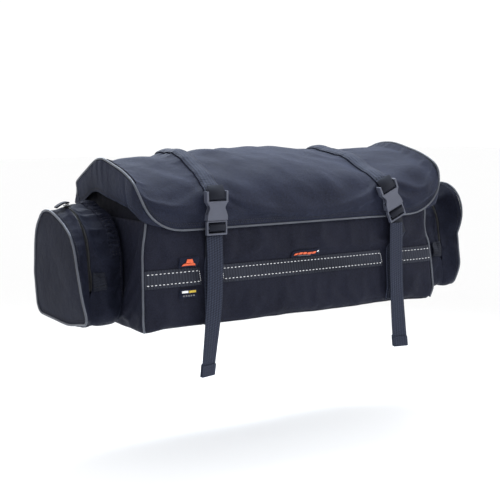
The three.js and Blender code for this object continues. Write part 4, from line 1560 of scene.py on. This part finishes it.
        def shape(u, v, a, b, lift):
            # a folded end stands a little off the pocket
            return u, v, lift + 0.0016 * math.sin(math.pi * a) + 0.0007 * smooth(b, 0.7, 1.0)
        bm = bmesh.new()
        self.skin.sheetInto(bm, (u0, u1), (v0, v1), 16, 16, 0.0022, shape)
        tab = makePiece(f"pocketTab{self.name}", bm, tabWebbing, "bag", [f"pocket_{self.side}_tab"])
        thicken(tab, 0.0018, 1)
        bm = bmesh.new()
        for share in (0.2, 0.8):
            u = mix(u0, u1, share)
            vs = [mix(v0, v1, mix(0.06, 0.94, i / 12)) for i in range(13)]
            stitchesInto(bm, [self.skin.at(u, v, 0.0036) for v in vs], [self.skin.normal(u, v) for v in vs],
                         0.0026, (0.0021, 0.0007, 0.0006))
        makePiece(f"pocketTabStitches{self.name}", bm, darkThread, "bag")

    def makeRootSeam(self):
        stitches = bmesh.new()
        us = [i / 260 for i in range(261)]
        stitchesInto(stitches, [self.skin.at(u, 0.05, 0.0004) for u in us], [self.skin.normal(u, 0.05) for u in us],
                     0.0038, stitchSize)
        makePiece(f"pocketRootStitches{self.name}", stitches, darkThread, "bag")


for side, sx in sides.items():
    pocket = Pocket(side, sx)
    pocket.makeGusset()
    pocket.makeEnd()
    pocket.makeGather()
    pocket.makeZip()
    pocket.makeSlider()
    pocket.makeTab()
    pocket.makeRootSeam()
print("pockets made")


# floor and light
stageLook = {
    "floorZ": -0.200, "floorSize": 16.0, "world": 1.06,
    "lights": [  # place, size, power, spread in degrees, colour and name
        ((0.35, 0.45, 1.9), 1.0, 5.0, 40, (0.80, 0.89, 1.0), "top"),
        ((0.1, 1.9, 1.1), 0.8, 1.6, 40, (0.80, 0.89, 1.0), "back"),
        ((1.5, -1.0, 0.9), 0.6, 1.2, 50, (1.0, 1.0, 1.0), "right"),
    ],
}


def makeStage():
    bm = bmesh.new()
    bmesh.ops.create_grid(bm, x_segments=2, y_segments=2, size=stageLook["floorSize"] / 2)
    for v in bm.verts:
        v.co.z = stageLook["floorZ"]
    mesh = bpy.data.meshes.new("floor")
    bm.to_mesh(mesh)
    bm.free()
    mesh.materials.append(floorPaint)
    floor = bpy.data.objects.new("floor", mesh)
    bpy.context.scene.collection.objects.link(floor)
    world = bpy.data.worlds.new("studio")
    world.use_nodes = True
    background = world.node_tree.nodes["Background"]
    background.inputs[0].default_value = (1, 1, 1, 1)
    background.inputs[1].default_value = stageLook["world"]
    bpy.context.scene.world = world
    for place, size, power, spread, colour, name in stageLook["lights"]:
        data = bpy.data.lights.new(name, "AREA")
        data.shape, data.size, data.energy, data.color = "SQUARE", size, power, colour
        data.spread = math.radians(spread)
        lamp = bpy.data.objects.new(name, data)
        lamp.location = place
        lamp.rotation_euler = (Vector((0, 0, 0.1)) - Vector(place)).to_track_quat("-Z", "Y").to_euler()
        bpy.context.scene.collection.objects.link(lamp)
    bpy.context.scene.view_settings.view_transform = "Standard"


makeStage()
print("stage made")
